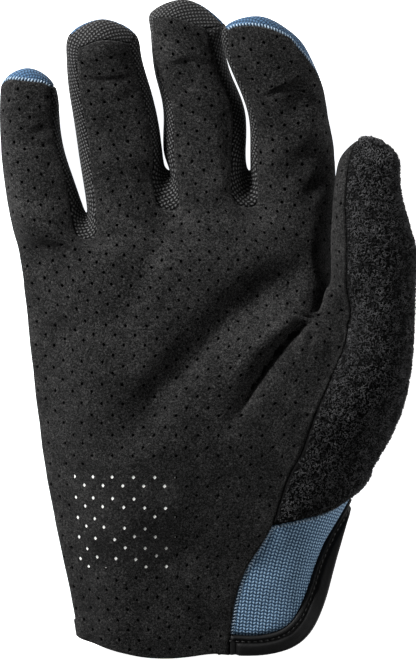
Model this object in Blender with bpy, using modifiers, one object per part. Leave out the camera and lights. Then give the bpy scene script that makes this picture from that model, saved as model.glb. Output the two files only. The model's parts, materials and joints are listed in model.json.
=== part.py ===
"""Motocross glove for the right hand, lying on its back with the palm up.

X runs from the little finger to the thumb, Y from the cuff to the fingertips and Z up out of
the palm. The whole glove is one smooth skin over a coarse cage of four-sided faces. Each panel
takes its own faces of that skin and becomes a closed sheet of cloth beside its neighbours.
"""
import math
from collections import namedtuple

import bmesh
import bpy
from mathutils import Matrix, Vector
from mathutils.bvhtree import BVHTree

# Driving sizes, in metres
PALM_LENGTH = 0.162          # cuff edge to the crotches of the middle finger
PALM_THICKNESS = 0.032       # back to palm at the heel of the hand
LITTLE_WIDTH = 0.0257
RING_WIDTH = 0.0290
MIDDLE_WIDTH = 0.0284
INDEX_WIDTH = 0.0308
THUMB_WIDTH = 0.0286
LITTLE_REACH = 0.0519        # crotch line to fingertip, seen from above
RING_REACH = 0.0687
MIDDLE_REACH = 0.0755
INDEX_REACH = 0.0705
THUMB_REACH = 0.0600         # thumb's web to its tip, seen from above
FINGER_THICKNESS = 0.0205    # back to front at the root of a finger
THUMB_THICKNESS = 0.0250
FINGER_CURL = 0.0120         # rise of the index fingertip above its root
THUMB_RISE = 0.0260          # middle of the thumb above the rest plane
FINGER_GAP = 0.0007          # free space between neighbouring fingers at their roots
THUMB_GAP = 0.0010           # free space between the thumb and the side of the hand
CROTCH_FLOORS = (0.0100, 0.0135, 0.0125)  # how far above its palm seam each crotch's floor lies
SHELL_WALL = 0.0012
BINDING_WALL = 0.0024
BINDING_PROUD = 0.0006       # the binding stands this far out of the skin
SEAM_GAP = 0.0003            # free space between neighbouring panels
LABEL_WIDTH = 0.036
LABEL_LENGTH = 0.034
LABEL_WALL = 0.0005
LABEL_FROM_CUFF = 0.0325     # cuff edge to the nearer end of the label
LABEL_FROM_EDGE = 0.0075     # outer edge of the hand to the label
FOLD_DEPTH = 0.0040          # deepest fold, at the root of the thumb

# Worked out from the driving sizes
PALM_WIDTH = LITTLE_WIDTH + RING_WIDTH + MIDDLE_WIDTH + INDEX_WIDTH + 3 * FINGER_GAP
COLUMNS = 16                 # lines of the cage across the palm, four to each finger
SEAM_COLUMN = 13             # line that follows the thumb-side seam of the suede
OUT_A = SEAM_COLUMN + 1      # the two lines beyond it
OUT_B = COLUMNS - 1
RING_POINTS = 10             # cage points round a finger or the thumb

PANELS = ("palm", "thumb_panel", "back", "cuff_binding", "fourchette_little_ring",
          "fourchette_ring_middle", "fourchette_middle_index")
FOURCHETTES = PANELS[4:]

# Colour, roughness of each material
MATERIALS = {
    "palm": ((0.030, 0.030, 0.031), 0.88),
    "thumb_panel": ((0.020, 0.020, 0.021), 0.97),
    "back": ((0.072, 0.118, 0.178), 0.82),
    "cuff_binding": ((0.012, 0.012, 0.013), 0.66),
    "fourchette_little_ring": ((0.022, 0.022, 0.023), 0.80),
    "fourchette_ring_middle": ((0.022, 0.022, 0.023), 0.80),
    "fourchette_middle_index": ((0.022, 0.022, 0.023), 0.80),
    "inner_label": ((0.82, 0.82, 0.80), 0.60),
}

# Rows of the hand from the cuff to the crotches. Across is a share of the palm's width from its
# outer edge, along a share of the palm's length from the cuff, high a share of its thickness.
# The seam, out_a and out_b are the last three lines of the palm side and edge is the line beyond;
# back_along is the place of the same row on the back, under out_b.
Row = namedtuple("Row", "name outer_across outer_along middle_along top_high "
                        "seam_across seam_along seam_high out_a_across out_a_along out_a_high "
                        "out_b_across out_b_along out_b_high edge_across edge_along edge_high back_along")
ROWS = (
    Row("cuff", 0.200, 0.044, 0.002, 0.76, 0.669, 0.007, 0.72, 0.888, 0.033, 0.64,
        0.996, 0.199, 0.45, 1.043, 0.320, 0.28, 0.090),
    Row("binding", 0.191, 0.088, 0.048, 0.79, 0.672, 0.053, 0.76, 0.850, 0.071, 0.69,
        0.948, 0.221, 0.49, 1.043, 0.351, 0.28, 0.130),
    Row("gusset", 0.166, 0.181, 0.161, 0.85, 0.709, 0.179, 0.83, 0.857, 0.203, 0.77,
        0.974, 0.269, 0.58, 1.051, 0.362, 0.30, 0.240),
    Row("heel", 0.129, 0.305, 0.296, 0.94, 0.801, 0.294, 0.92, 0.888, 0.305, 0.87,
        0.995, 0.331, 0.68, 1.069, 0.373, 0.33, 0.322),
    Row("thenar", 0.092, 0.448, 0.448, 1.00, 0.888, 0.448, 0.99, 0.995, 0.419, 0.90,
        1.106, 0.412, 0.56, 1.103, 0.430, 0.24, 0.418),
    Row("mount", 0.068, 0.592, 0.587, 1.00, 0.965, 0.592, 1.03, None, None, None,
        1.060, 0.536, 0.34, 1.066, 0.543, 0.16, 0.552),
    Row("web", 0.046, 0.724, 0.713, 0.96, 1.032, 0.735, 0.95, None, None, None,
        1.042, 0.658, 0.34, 1.048, 0.662, 0.16, 0.675),
    Row("notch", 0.031, 0.823, 0.812, 0.90, 0.928, 0.762, 0.87, 0.984, 0.768, 0.62,
        1.008, 0.755, 0.42, 1.014, 0.760, 0.20, 0.775),
    Row("knuckle", 0.015, 0.901, 0.901, 0.84, 0.895, 0.890, 0.85, 0.940, 0.890, 0.78,
        0.992, 0.890, 0.46, 1.000, 0.890, 0.22, 0.890),
)
NO_THUMB_ROWS = ("mount", "web")     # the thumb's hole takes their out_a points

# Section of the hand between the points of its rows. Heights are shares of the palm's thickness,
# places across are shares of the palm's width and of each row's own line.
FRONT_EDGE_HIGH = 0.42       # where the palm side begins, at the outer edge
BACK_EDGE_HIGH = 0.20        # where the back begins, below it
BACK_EDGE_IN = 0.030         # and how far in from the outer edge
SWELL_ENDS = 0.42            # place across a row where the palm has risen to its full height
SWELL_POWER = 2.3            # how round that rise is
BOW_ENDS = 0.9               # place across a row where its bow runs out
BOW_MIDDLE = 0.45            # place across a row of its middle point
BACK_STARTS = 0.035          # first place of the back's line across a row
BACK_SPAN = 0.93
BACK_LIFT = 0.05             # rise of the back at its two ends
BACK_FLAT_POWER = 8          # how flat the back is between them
BACK_HIGH = -0.012           # the back's middle, just below the ground it is pressed flat on
BACK_MIDDLE = 0.45           # places across a row where the back's own along values stand
BACK_THUMB = 0.86
BACK_INSET = (0.04, 0.02)    # the back's line lies this far in from the outer and thumb edges
BACK_AHEAD = 0.012           # and this share of the palm's length ahead of the palm's own

# Crotches, as shares of the palm's length, with the four places of each finger's own root line
CROTCH_ALONG = {"little": (0.955, 0.947, 0.941, 0.936), "ring": (0.940, 0.962, 0.986, 1.000),
                "middle": (1.000, 1.009, 1.013, 1.008), "index": (1.006, 1.000, 0.994, 0.980)}
CROTCH_HIGH = 0.395          # middle of the finger roots, as a share of the palm's thickness
CROTCH_THICK = 1.12          # thickness of the roots, as a share of the finger thickness
ROOT_ALONG = 0.985           # where a finger's reach is measured from, of the palm's length

# Sections of the fingers. Along is a share of the finger's reach, shift a share of its width
# towards the thumb, wide and thick shares of its width and of the finger thickness, lift a share
# of the curl. The seams are where the palm panel ends, as shares of the half width. Slant is how
# far the thumb side of the section lies ahead, as a share of the width.
Section = namedtuple("Section", "along shift wide thick lift outer_seam inner_seam slant")
# The palm panel's edge at a fingertip is an arc: tip_arc says how far its four points lie ahead of
# the last section, as shares of the finger's width
Finger = namedtuple("Finger", "name width reach sections cap_depth tip_arc")
FINGERS = (
    Finger("little", LITTLE_WIDTH, LITTLE_REACH, (
        Section(0.21, -0.118, 0.985, 0.90, 0.02, 0.995, 0.77, 0.00),
        Section(0.43, -0.208, 0.890, 0.87, 0.05, 0.995, 0.77, 0.00),
        Section(0.65, -0.250, 0.840, 0.81, 0.12, 0.995, 0.78, 0.00),
        Section(0.87, -0.270, 0.765, 0.60, 0.20, 0.970, 0.80, 0.00)), 0.12,
        (0.02, 0.10, 0.07, 0.00)),
    Finger("ring", RING_WIDTH, RING_REACH, (
        Section(0.29, -0.068, 1.050, 1.01, 0.05, 0.72, 0.77, 0.00),
        Section(0.48, -0.129, 1.060, 0.98, 0.15, 0.71, 0.78, 0.00),
        Section(0.67, -0.222, 1.017, 0.92, 0.36, 0.70, 0.79, 0.00),
        Section(0.82, -0.277, 0.935, 0.87, 0.62, 0.70, 0.80, 0.00),
        Section(0.92, -0.288, 0.830, 0.72, 0.85, 0.72, 0.80, 0.00)), 0.08,
        (-0.11, 0.00, 0.01, -0.06)),
    Finger("middle", MIDDLE_WIDTH, MIDDLE_REACH, (
        Section(0.30, -0.048, 1.055, 1.01, 0.02, 0.74, 0.68, 0.00),
        Section(0.49, -0.060, 1.045, 0.98, 0.06, 0.76, 0.70, 0.00),
        Section(0.67, -0.205, 0.970, 0.93, 0.17, 0.90, 0.72, 0.00),
        Section(0.84, -0.262, 0.955, 0.90, 0.34, 0.92, 0.58, -0.06),
        Section(0.92, -0.268, 0.945, 0.74, 0.47, 0.90, 0.48, -0.16)), 0.08,
        (-0.06, 0.02, 0.02, -0.04)),
    Finger("index", INDEX_WIDTH, INDEX_REACH, (
        Section(0.31, -0.013, 0.980, 1.02, 0.10, 0.83, 0.995, 0.00),
        Section(0.48, -0.053, 0.930, 0.98, 0.30, 0.84, 0.995, 0.00),
        Section(0.65, -0.158, 0.987, 0.90, 0.58, 0.85, 0.995, 0.00),
        Section(0.80, -0.297, 1.010, 0.78, 0.86, 0.86, 0.900, -0.06),
        Section(0.91, -0.373, 0.870, 0.54, 1.04, 0.88, 0.790, -0.14)), 0.075,
        (-0.01, 0.09, 0.09, 0.00)),
)
BACK_TURN = math.radians(60)  # how far round the back a finger's side begins
BACK_TURN_LOSS = 0.45        # and how much less where the palm seam lies high

# Root of the thumb, point by point round it, as the rows above: across, along, high
Root = namedtuple("Root", "across along high")
THUMB_ROOT = (
    Root(0.966, 0.803, 0.90), Root(1.037, 0.785, 1.04), Root(1.100, 0.700, 1.18),
    Root(1.150, 0.590, 1.04), Root(1.199, 0.560, 0.72), Root(1.183, 0.562, 0.42),
    Root(1.125, 0.660, 0.31), Root(1.070, 0.740, 0.34), Root(1.028, 0.797, 0.44),
    Root(0.998, 0.817, 0.60),
)
# Sections of the thumb: along a share of its reach from the web, shift and wide shares of its
# width, thick of its thickness, high of its rise
ThumbSection = namedtuple("ThumbSection", "along shift wide thick high")
THUMB_SECTIONS = (
    ThumbSection(0.16, -0.082, 1.034, 1.02, 1.00),
    ThumbSection(0.35, -0.080, 1.036, 1.00, 1.06),
    ThumbSection(0.54, -0.130, 0.905, 0.95, 1.07),
    ThumbSection(0.72, -0.155, 0.790, 0.88, 1.05),
    ThumbSection(0.87, -0.135, 0.720, 0.72, 1.06),
)
THUMB_WEB_ALONG = 0.775      # the web, as a share of the palm's length
THUMB_CAP = 0.12             # depth of the thumb's cap, as a share of its reach
THUMB_FIRST_TURN = math.radians(168)
TIP_SHARE = 0.33             # the two points of a tip lie this share of the half width aside

# Folds of the palm side: the path of each one's floor as shares across and along, its depth as a
# share of the deepest fold and its width as a share of the palm's width. A negative depth is a ridge.
Fold = namedtuple("Fold", "name path depth width")
FOLDS = (
    Fold("palm_hollow", ((1.007, 0.874), (0.889, 0.861), (0.754, 0.799), (0.627, 0.722),
         (0.504, 0.623), (0.396, 0.536), (0.328, 0.481)), 0.85, 0.072),
    Fold("thenar_crease", ((0.945, 0.748), (0.865, 0.709), (0.803, 0.660),
         (0.745, 0.596), (0.698, 0.541), (0.649, 0.494)), 0.62, 0.034),
    Fold("ring_valley", ((0.479, 0.985), (0.452, 0.923), (0.415, 0.857),
         (0.365, 0.786), (0.288, 0.698)), 0.38, 0.042),
    Fold("middle_valley", ((0.735, 1.077), (0.683, 1.026), (0.618, 0.967)), 0.30, 0.036),
    Fold("index_hollow", ((0.926, 1.249), (0.880, 1.223), (0.828, 1.192)), 0.50, 0.046),
    Fold("index_ridge", ((0.957, 1.205), (0.905, 1.148), (0.853, 1.117)), -0.22, 0.026),
)
FOLD_ENDS = 0.02             # a fold is never quite nothing at its ends
FOLD_TAPER = 0.6             # power of the fold's swell towards its middle
FIT_ROUNDS = 10              # rounds that bring the smooth skin onto the tables' points
LEAST_LEAN = 0.2             # holds back how far a seam's sharp corner is drawn in
LABEL_CELLS = 8              # faces of the label along each side
LABEL_ROW = 3                # row whose outer edge the label is placed from
SHARP_TURN = math.radians(50)


def mix(a, b, share):
    return a + (b - a) * share


def through(points, share):
    """Value at share along a few (share, value) points, on straight runs between them."""
    for (low, a), (high, b) in zip(points, points[1:]):
        if share <= high:
            return mix(a, b, (share - low) / (high - low))
    return points[-1][1]


def palm_point(across, along, high):
    """A place on the hand from its three shares."""
    return Vector(((across - 0.5) * PALM_WIDTH, along * PALM_LENGTH, high * PALM_THICKNESS))


class Cage:
    """Named points and four-sided faces, each face on one panel. A face's keys run clockwise
    as seen from outside the glove."""

    def __init__(self):
        self.index = {}
        self.points = []
        self.faces = []
        self.panels = []

    def put(self, key, point):
        self.index[key] = len(self.points)
        self.points.append(Vector(point))

    def face(self, panel, *keys):
        self.faces.append([self.index[key] for key in reversed(keys)])
        self.panels.append(PANELS.index(panel))


def finger_roots():
    """Middle of each finger's root across the hand, side by side with the gap between them."""
    middles = {}
    edge = -PALM_WIDTH / 2
    for finger in FINGERS:
        middles[finger.name] = edge + finger.width / 2
        edge += finger.width + FINGER_GAP
    return middles


def ring_turns(outer_seam, inner_seam):
    """Turns of the ten points round a finger: four in front, side, four behind, side."""
    inner = math.acos(inner_seam)
    outer = math.acos(outer_seam)
    inner_back = -(BACK_TURN - BACK_TURN_LOSS * inner)
    outer_back = -(BACK_TURN - BACK_TURN_LOSS * outer)
    front = [mix(math.pi - outer, inner, step / 3) for step in range(4)]
    back = [mix(inner_back, -math.pi - outer_back, step / 3) for step in range(4)]
    return (front + [(inner + inner_back) / 2] + back + [-math.pi - (outer + outer_back) / 2])


def ring_points(middle, ahead, half_wide, half_thick, turns, slant=0.0):
    side = Vector((1, 0, 0)) + ahead * slant
    up = Vector((1, 0, 0)).cross(ahead)
    return [middle + side * half_wide * math.cos(turn) + up * half_thick * math.sin(turn)
            for turn in turns]


def heading(middles, row):
    """Which way a tube runs at a row, seen from the side."""
    run = middles[min(row + 1, len(middles) - 1)] - middles[max(row - 1, 0)]
    return Vector((0, run.y, run.z)).normalized()


def put_tube(cage, name, first_row, middles, rings):
    """Rings of a finger or the thumb, each square to the line of its middles seen from the side.
    A ring is its half width, half thickness, turns and slant."""
    for row, (half_wide, half_thick, turns, slant) in enumerate(rings):
        points = ring_points(middles[row], heading(middles, row), half_wide, half_thick, turns, slant)
        for place, point in enumerate(points):
            cage.put((name, first_row + row, place), point)


def bend_edge(cage, name, row, ahead, middle, finger):
    """Move the four palm points of the last ring ahead, and down along the dome of the tip."""
    depth = finger.cap_depth * finger.reach
    for place, share in enumerate(finger.tip_arc):
        step = share * finger.width
        point = cage.points[cage.index[name, row, place]]
        out = point - middle
        out -= ahead * out.dot(ahead)
        lower = math.sqrt(1 - min(max(step, 0) / (2 * depth), 1) ** 2)
        point += ahead * step - Vector((0, 0, out.z)) * (1 - lower)


def join_tube(cage, name, first, rows, panel_of):
    """Faces from the first ring's keys along the tube. panel_of gives a side's panel by its place."""
    below = first
    for row in range(1, rows + 1):
        above = [(name, row, place) for place in range(RING_POINTS)]
        for place in range(RING_POINTS):
            after = (place + 1) % RING_POINTS
            cage.face(panel_of(place), below[place], above[place], above[after], below[after])
        below = above
    return below


def close_tip(cage, name, ring, middles, last_ring, depth, panels):
    """A tip of six faces: three in front and three behind a middle line of two points."""
    half_wide, _, _, slant = last_ring
    ahead = heading(middles, len(middles) - 1)
    for number, place in enumerate((-TIP_SHARE, TIP_SHARE)):
        side = Vector((1, 0, 0)) + ahead * slant
        cage.put((name, "tip", number), middles[-1] + ahead * depth + side * half_wide * place)
    middle_line = (ring[9], (name, "tip", 0), (name, "tip", 1), ring[4])
    back_line = (ring[8], ring[7], ring[6], ring[5])
    for step in range(3):
        cage.face(panels[step], ring[step], middle_line[step], middle_line[step + 1], ring[step + 1])
        cage.face(panels[step + 3], middle_line[step], back_line[step], back_line[step + 1],
                  middle_line[step + 1])


def put_hand(cage):
    """Points of the hand, row by row: palm side, two edges and back."""
    for row in ROWS:
        for column in range(SEAM_COLUMN):
            share = column / SEAM_COLUMN
            across = mix(row.outer_across + 0.004, row.seam_across, share)
            bend = math.sin(math.pi * min(share / BOW_ENDS, 1.0))
            along = mix(row.outer_along, row.seam_along, share)
            along += bend * (row.middle_along - mix(row.outer_along, row.seam_along, BOW_MIDDLE))
            rise = min(share / SWELL_ENDS, 1.0)
            fall = max((share - SWELL_ENDS) / (1 - SWELL_ENDS), 0.0)
            high = mix(FRONT_EDGE_HIGH, row.top_high, 1 - (1 - rise) ** SWELL_POWER)
            high = mix(high, row.seam_high, fall * fall * (3 - 2 * fall))
            cage.put(("front", row.name, column), palm_point(across, along, high))
        cage.put(("front", row.name, SEAM_COLUMN),
                 palm_point(row.seam_across, row.seam_along, row.seam_high))
        if row.name not in NO_THUMB_ROWS:
            cage.put(("front", row.name, OUT_A),
                     palm_point(row.out_a_across, row.out_a_along, row.out_a_high))
        cage.put(("front", row.name, OUT_B),
                 palm_point(row.out_b_across, row.out_b_along, row.out_b_high))
        cage.put(("edge", row.name, "inner"), palm_point(row.edge_across, row.edge_along, row.edge_high))
        cage.put(("edge", row.name, "outer"),
                 palm_point(row.outer_across + BACK_EDGE_IN, row.outer_along + BACK_AHEAD / 2,
                            BACK_EDGE_HIGH))
        line = ((0.0, row.outer_along + BACK_AHEAD), (BACK_MIDDLE, row.middle_along + BACK_AHEAD),
                (BACK_THUMB, row.back_along), (1.0, row.edge_along))
        for column in range(COLUMNS):
            share = BACK_STARTS + BACK_SPAN * column / (COLUMNS - 1)
            across = mix(row.outer_across + BACK_INSET[0], row.edge_across - BACK_INSET[1], share)
            high = BACK_HIGH + BACK_LIFT * (2 * share - 1) ** BACK_FLAT_POWER
            cage.put(("behind", row.name, column), palm_point(across, through(line, share), high))


def put_crotches(cage):
    """The last row of the hand, where the fingers and the crotches between them begin."""
    roots = finger_roots()
    for number, finger in enumerate(FINGERS):
        first = finger.sections[0]
        turns = ring_turns(first.outer_seam, first.inner_seam)
        middle = Vector((roots[finger.name], 0, CROTCH_HIGH * PALM_THICKNESS))
        ring = ring_points(middle, Vector((0, 1, 0)), finger.width / 2, CROTCH_THICK * FINGER_THICKNESS / 2,
                           turns)
        alongs = [share * PALM_LENGTH for share in CROTCH_ALONG[finger.name]]
        for place in range(4):
            ring[place].y = alongs[place]
            ring[8 - place].y = alongs[place]
            cage.put(("front", "crotch", 4 * number + place), ring[place])
            cage.put(("behind", "crotch", 4 * number + place), ring[8 - place])
        is_first = number == 0
        is_last = number == len(FINGERS) - 1
        ring[9].y = alongs[0] + (0 if is_first else CROTCH_FLOORS[number - 1])
        ring[4].y = alongs[3] + (0 if is_last else CROTCH_FLOORS[number])
        cage.put(("edge", "crotch", "outer") if is_first else ("floor", number, "outer"), ring[9])
        cage.put(("edge", "crotch", "inner") if is_last else ("floor", number, "inner"), ring[4])


def front_panel(row, column):
    """Panel of the palm-side face above a row and beyond a column, or none over the thumb's hole."""
    if column < SEAM_COLUMN:
        return "palm"
    if row in ("thenar", "mount", "web"):
        return None
    return {"cuff": "cuff_binding", "binding": "back", "gusset": "back",
            "heel": "thumb_panel"}.get(row, "palm")


def join_hand(cage):
    """Faces of the hand between its rows."""
    names = [row.name for row in ROWS] + ["crotch"]
    for low, high in zip(names, names[1:]):
        for column in range(COLUMNS - 1):
            panel = front_panel(low, column)
            if panel:
                cage.face(panel, ("front", low, column), ("front", high, column),
                          ("front", high, column + 1), ("front", low, column + 1))
        behind = "cuff_binding" if low == "cuff" else "back"
        side = "thumb_panel" if low in ("heel", "thenar") else behind
        cage.face(side, ("front", low, OUT_B), ("front", high, OUT_B),
                  ("edge", high, "inner"), ("edge", low, "inner"))
        cage.face(behind, ("edge", low, "inner"), ("edge", high, "inner"),
                  ("behind", high, OUT_B), ("behind", low, OUT_B))
        for column in range(COLUMNS - 1):
            cage.face(behind, ("behind", low, column + 1), ("behind", high, column + 1),
                      ("behind", high, column), ("behind", low, column))
        cage.face(behind, ("behind", low, 0), ("behind", high, 0),
                  ("edge", high, "outer"), ("edge", low, "outer"))
        cage.face(behind, ("edge", low, "outer"), ("edge", high, "outer"),
                  ("front", high, 0), ("front", low, 0))
    for number in range(len(FINGERS) - 1):
        near, far = 4 * number + 3, 4 * number + 4
        inner, outer = ("floor", number, "inner"), ("floor", number + 1, "outer")
        panel = FOURCHETTES[number]
        cage.face(panel, ("front", "crotch", near), inner, outer, ("front", "crotch", far))
        cage.face(panel, inner, ("behind", "crotch", near), ("behind", "crotch", far), outer)


def finger_panels(number):
    """Panels round a finger, place by place, and the six panels of its tip."""
    outer = FOURCHETTES[number - 1] if number > 0 else "back"
    inner = FOURCHETTES[number] if number < len(FOURCHETTES) else "back"
    sides = ("palm", "palm", "palm", inner, inner, "back", "back", "back", outer, outer)
    tip_front = {"ring": FOURCHETTES[0], "middle": FOURCHETTES[1]}.get(FINGERS[number].name, "back")
    return sides, (tip_front,) * 3 + ("back",) * 3


def put_fingers(cage):
    roots = finger_roots()
    for number, finger in enumerate(FINGERS):
        root = Vector((roots[finger.name], ROOT_ALONG * PALM_LENGTH, CROTCH_HIGH * PALM_THICKNESS))
        middles = [root + Vector((section.shift * finger.width, section.along * finger.reach,
                                  section.lift * FINGER_CURL)) for section in finger.sections]
        rings = [(section.wide * finger.width / 2, section.thick * FINGER_THICKNESS / 2,
                  ring_turns(section.outer_seam, section.inner_seam), section.slant)
                 for section in finger.sections]
        put_tube(cage, finger.name, 1, middles, rings)
        last_row = len(middles) - 1
        bend_edge(cage, finger.name, last_row + 1, heading(middles, last_row), middles[-1], finger)
        first = [("front", "crotch", 4 * number + place) for place in range(4)]
        first.append(("edge", "crotch", "inner") if number == 3 else ("floor", number, "inner"))
        first += [("behind", "crotch", 4 * number + place) for place in (3, 2, 1, 0)]
        first.append(("edge", "crotch", "outer") if number == 0 else ("floor", number, "outer"))
        sides, tips = finger_panels(number)
        last = join_tube(cage, finger.name, first, len(middles), lambda place: sides[place])
        close_tip(cage, finger.name, last, middles, rings[-1], finger.cap_depth * finger.reach, tips)


def put_thumb(cage):
    for place, root in enumerate(THUMB_ROOT):
        cage.put(("thumb", 1, place), palm_point(*root))
    start = Vector((PALM_WIDTH / 2 + THUMB_GAP + THUMB_WIDTH / 2, THUMB_WEB_ALONG * PALM_LENGTH, 0))
    middles = [start + Vector((section.shift * THUMB_WIDTH, section.along * THUMB_REACH,
                               section.high * THUMB_RISE)) for section in THUMB_SECTIONS]
    step = 2 * math.pi / RING_POINTS
    turns = [THUMB_FIRST_TURN - step * place for place in range(RING_POINTS)]
    rings = [(section.wide * THUMB_WIDTH / 2, section.thick * THUMB_THICKNESS / 2, turns, 0.0)
             for section in THUMB_SECTIONS]
    put_tube(cage, "thumb", 2, middles, rings)
    hole = [("front", row, SEAM_COLUMN) for row in ("notch", "web", "mount", "thenar")]
    hole.append(("front", "thenar", OUT_A))
    hole += [("front", row, OUT_B) for row in ("thenar", "mount", "web", "notch")]
    hole.append(("front", "notch", OUT_A))
    sides = ("palm",) + ("thumb_panel",) * 8 + ("palm",)
    last = join_tube(cage, "thumb", hole, len(middles) + 1, lambda place: sides[place])
    tips = ("palm",) + ("thumb_panel",) * 5
    close_tip(cage, "thumb", last, middles, rings[-1], THUMB_CAP * THUMB_REACH, tips)


def fit_cage(cage):
    """Move the cage's points out until the smooth skin passes through the tables' points."""
    wanted = [point.copy() for point in cage.points]
    beside = [set() for _ in wanted]
    opposite = [[] for _ in wanted]
    uses = {}
    for face in cage.faces:
        for corner in range(4):
            here, after = face[corner], face[(corner + 1) % 4]
            beside[here].add(after)
            beside[after].add(here)
            opposite[here].append(face[(corner + 2) % 4])
            edge = (min(here, after), max(here, after))
            uses[edge] = uses.get(edge, 0) + 1
    rim = {}
    for (a, b), count in uses.items():
        if count == 1:
            rim.setdefault(a, []).append(b)
            rim.setdefault(b, []).append(a)
    for _ in range(FIT_ROUNDS):
        smooth = []
        for here, point in enumerate(cage.points):
            if here in rim:
                smooth.append((point * 4 + cage.points[rim[here][0]] + cage.points[rim[here][1]]) / 6)
                continue
            count = len(beside[here])
            total = point * count * count
            for other in beside[here]:
                total += cage.points[other] * 4
            for other in opposite[here]:
                total += cage.points[other]
            smooth.append(total / (count * (count + 5)))
        for here, point in enumerate(cage.points):
            point += wanted[here] - smooth[here]


def fold_shift(point):
    """How far the folds push the palm side in at a place, in metres."""
    shift = 0.0
    flat = Vector((point.x, point.y, 0))
    for fold in FOLDS:
        ends = [palm_point(*place, 0) for place in fold.path]
        nearest, share = None, 0.0
        for part in range(len(ends) - 1):
            run = ends[part + 1] - ends[part]
            place = min(max((flat - ends[part]).dot(run) / run.dot(run), 0.0), 1.0)
            distance = (flat - ends[part] - run * place).length
            if nearest is None or distance < nearest:
                nearest, share = distance, (part + place) / (len(ends) - 1)
        taper = math.sin(math.pi * min(max(share, FOLD_ENDS), 1 - FOLD_ENDS)) ** FOLD_TAPER
        width = fold.width * PALM_WIDTH
        shift += fold.depth * FOLD_DEPTH * taper * math.exp(-(nearest / width) ** 2)
    return shift


def new_material(name):
    colour, roughness = MATERIALS[name]
    material = bpy.data.materials.new(name)
    material.use_nodes = True
    shader = material.node_tree.nodes["Principled BSDF"]
    shader.inputs["Base Color"].default_value = (*colour, 1)
    shader.inputs["Roughness"].default_value = roughness
    shader.inputs["Metallic"].default_value = 0.0
    material.diffuse_color = (*colour, 1)
    return material


def smooth_skin(cage, guides):
    """The cage under Subdivision Surface, with the folds pressed in and the back on the ground."""
    mesh = bpy.data.meshes.new("skin_cage")
    mesh.from_pydata(cage.points, [], cage.faces)
    for name in PANELS:
        mesh.materials.append(bpy.data.materials[name])
    mesh.polygons.foreach_set("material_index", cage.panels)
    guide = bpy.data.objects.new("skin_cage", mesh)
    guide.hide_render = True
    guide.display_type = "WIRE"
    guides.objects.link(guide)
    smooth = guide.modifiers.new("smooth", "SUBSURF")
    smooth.levels = 1
    smooth.render_levels = 1
    bpy.context.view_layer.update()
    depsgraph = bpy.context.evaluated_depsgraph_get()
    skin = bpy.data.meshes.new_from_object(guide.evaluated_get(depsgraph))
    form = bmesh.new()
    form.from_mesh(skin)
    form.normal_update()
    shifts = [fold_shift(vert.co) * max(vert.normal.z, 0.0) for vert in form.verts]
    for vert, shift in zip(form.verts, shifts):
        vert.co -= vert.normal * shift
        vert.co.z = max(vert.co.z, 0.0)
    form.normal_update()
    return form


def seam_shifts(faces, half_gap):
    """How each point on a panel's edge draws back into the panel, to leave half the seam's gap."""
    inside = {}
    for face in faces:
        for loop in face.loops:
            if sum(other in faces for other in loop.edge.link_faces) == 1:
                start, end = loop.vert, loop.link_loop_next.vert
                inward = face.normal.cross(end.co - start.co).normalized()
                inside.setdefault(start, []).append(inward)
                inside.setdefault(end, []).append(inward)
    shifts = {}
    for vert, runs in inside.items():
        total = sum(runs, Vector()).normalized()
        lean = max(min(total.dot(inward) for inward in runs), LEAST_LEAN)
        shifts[vert] = total * half_gap / lean
    return shifts


def close_sheet(name, outer, inner, faces, collection):
    """A closed sheet of cloth from its outer points, its inner points and its outer faces."""
    count = len(outer)
    runs = {(face[place - 1], face[place]) for face in faces for place in range(len(face))}
    skin = [list(face) for face in faces]
    skin += [[corner + count for corner in reversed(face)] for face in faces]
    for start, end in sorted(runs):
        if (end, start) not in runs:
            # Both sides of a seam split their rim between the same two points
            low, high = min(start, end), max(start, end)
            skin.append([end, start, low + count])
            skin.append([high, start + count, end + count])
    mesh = bpy.data.meshes.new(name)
    mesh.from_pydata(outer + inner, [], skin)
    mesh.materials.append(bpy.data.materials[name])
    mesh.shade_smooth()
    mesh.set_sharp_from_angle(angle=SHARP_TURN)
    piece = bpy.data.objects.new(name, mesh)
    collection.objects.link(piece)


def panel_sheet(name, form, collection):
    """A panel of the skin, drawn back from its seams, with the wall of its own cloth."""
    wall, proud = (BINDING_WALL, BINDING_PROUD) if name == "cuff_binding" else (SHELL_WALL, 0.0)
    number = PANELS.index(name)
    faces = [face for face in form.faces if face.material_index == number]
    shifts = seam_shifts(set(faces), SEAM_GAP / 2)
    verts = sorted({vert for face in faces for vert in face.verts}, key=lambda vert: vert.index)
    place = {vert: rank for rank, vert in enumerate(verts)}
    outer, inner = [], []
    for vert in verts:
        point = vert.co + shifts.get(vert, Vector()) + vert.normal * proud
        point.z = max(point.z, 0.0)
        outer.append(point)
        inner.append(point - vert.normal * wall)
    close_sheet(name, outer, inner, [[place[vert] for vert in face.verts] for face in faces], collection)


def label_sheet(form, collection):
    """The thin patch that follows the inside of the palm."""
    skin = BVHTree.FromBMesh(form)
    left = (ROWS[LABEL_ROW].outer_across - 0.5) * PALM_WIDTH + LABEL_FROM_EDGE
    line = range(LABEL_CELLS + 1)
    outer, inner = [], []
    for row in line:
        for column in line:
            place = Vector((left + LABEL_WIDTH * column / LABEL_CELLS,
                            LABEL_FROM_CUFF + LABEL_LENGTH * row / LABEL_CELLS, PALM_THICKNESS * 2))
            hit, normal, _, _ = skin.ray_cast(place, Vector((0, 0, -1)))
            outer.append(hit - normal * (SHELL_WALL + SEAM_GAP))
            inner.append(outer[-1] - normal * LABEL_WALL)
    across = LABEL_CELLS + 1
    faces = [[row * across + column, row * across + column + 1,
              (row + 1) * across + column + 1, (row + 1) * across + column]
             for row in range(LABEL_CELLS) for column in range(LABEL_CELLS)]
    close_sheet("inner_label", outer, inner, faces, collection)


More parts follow.
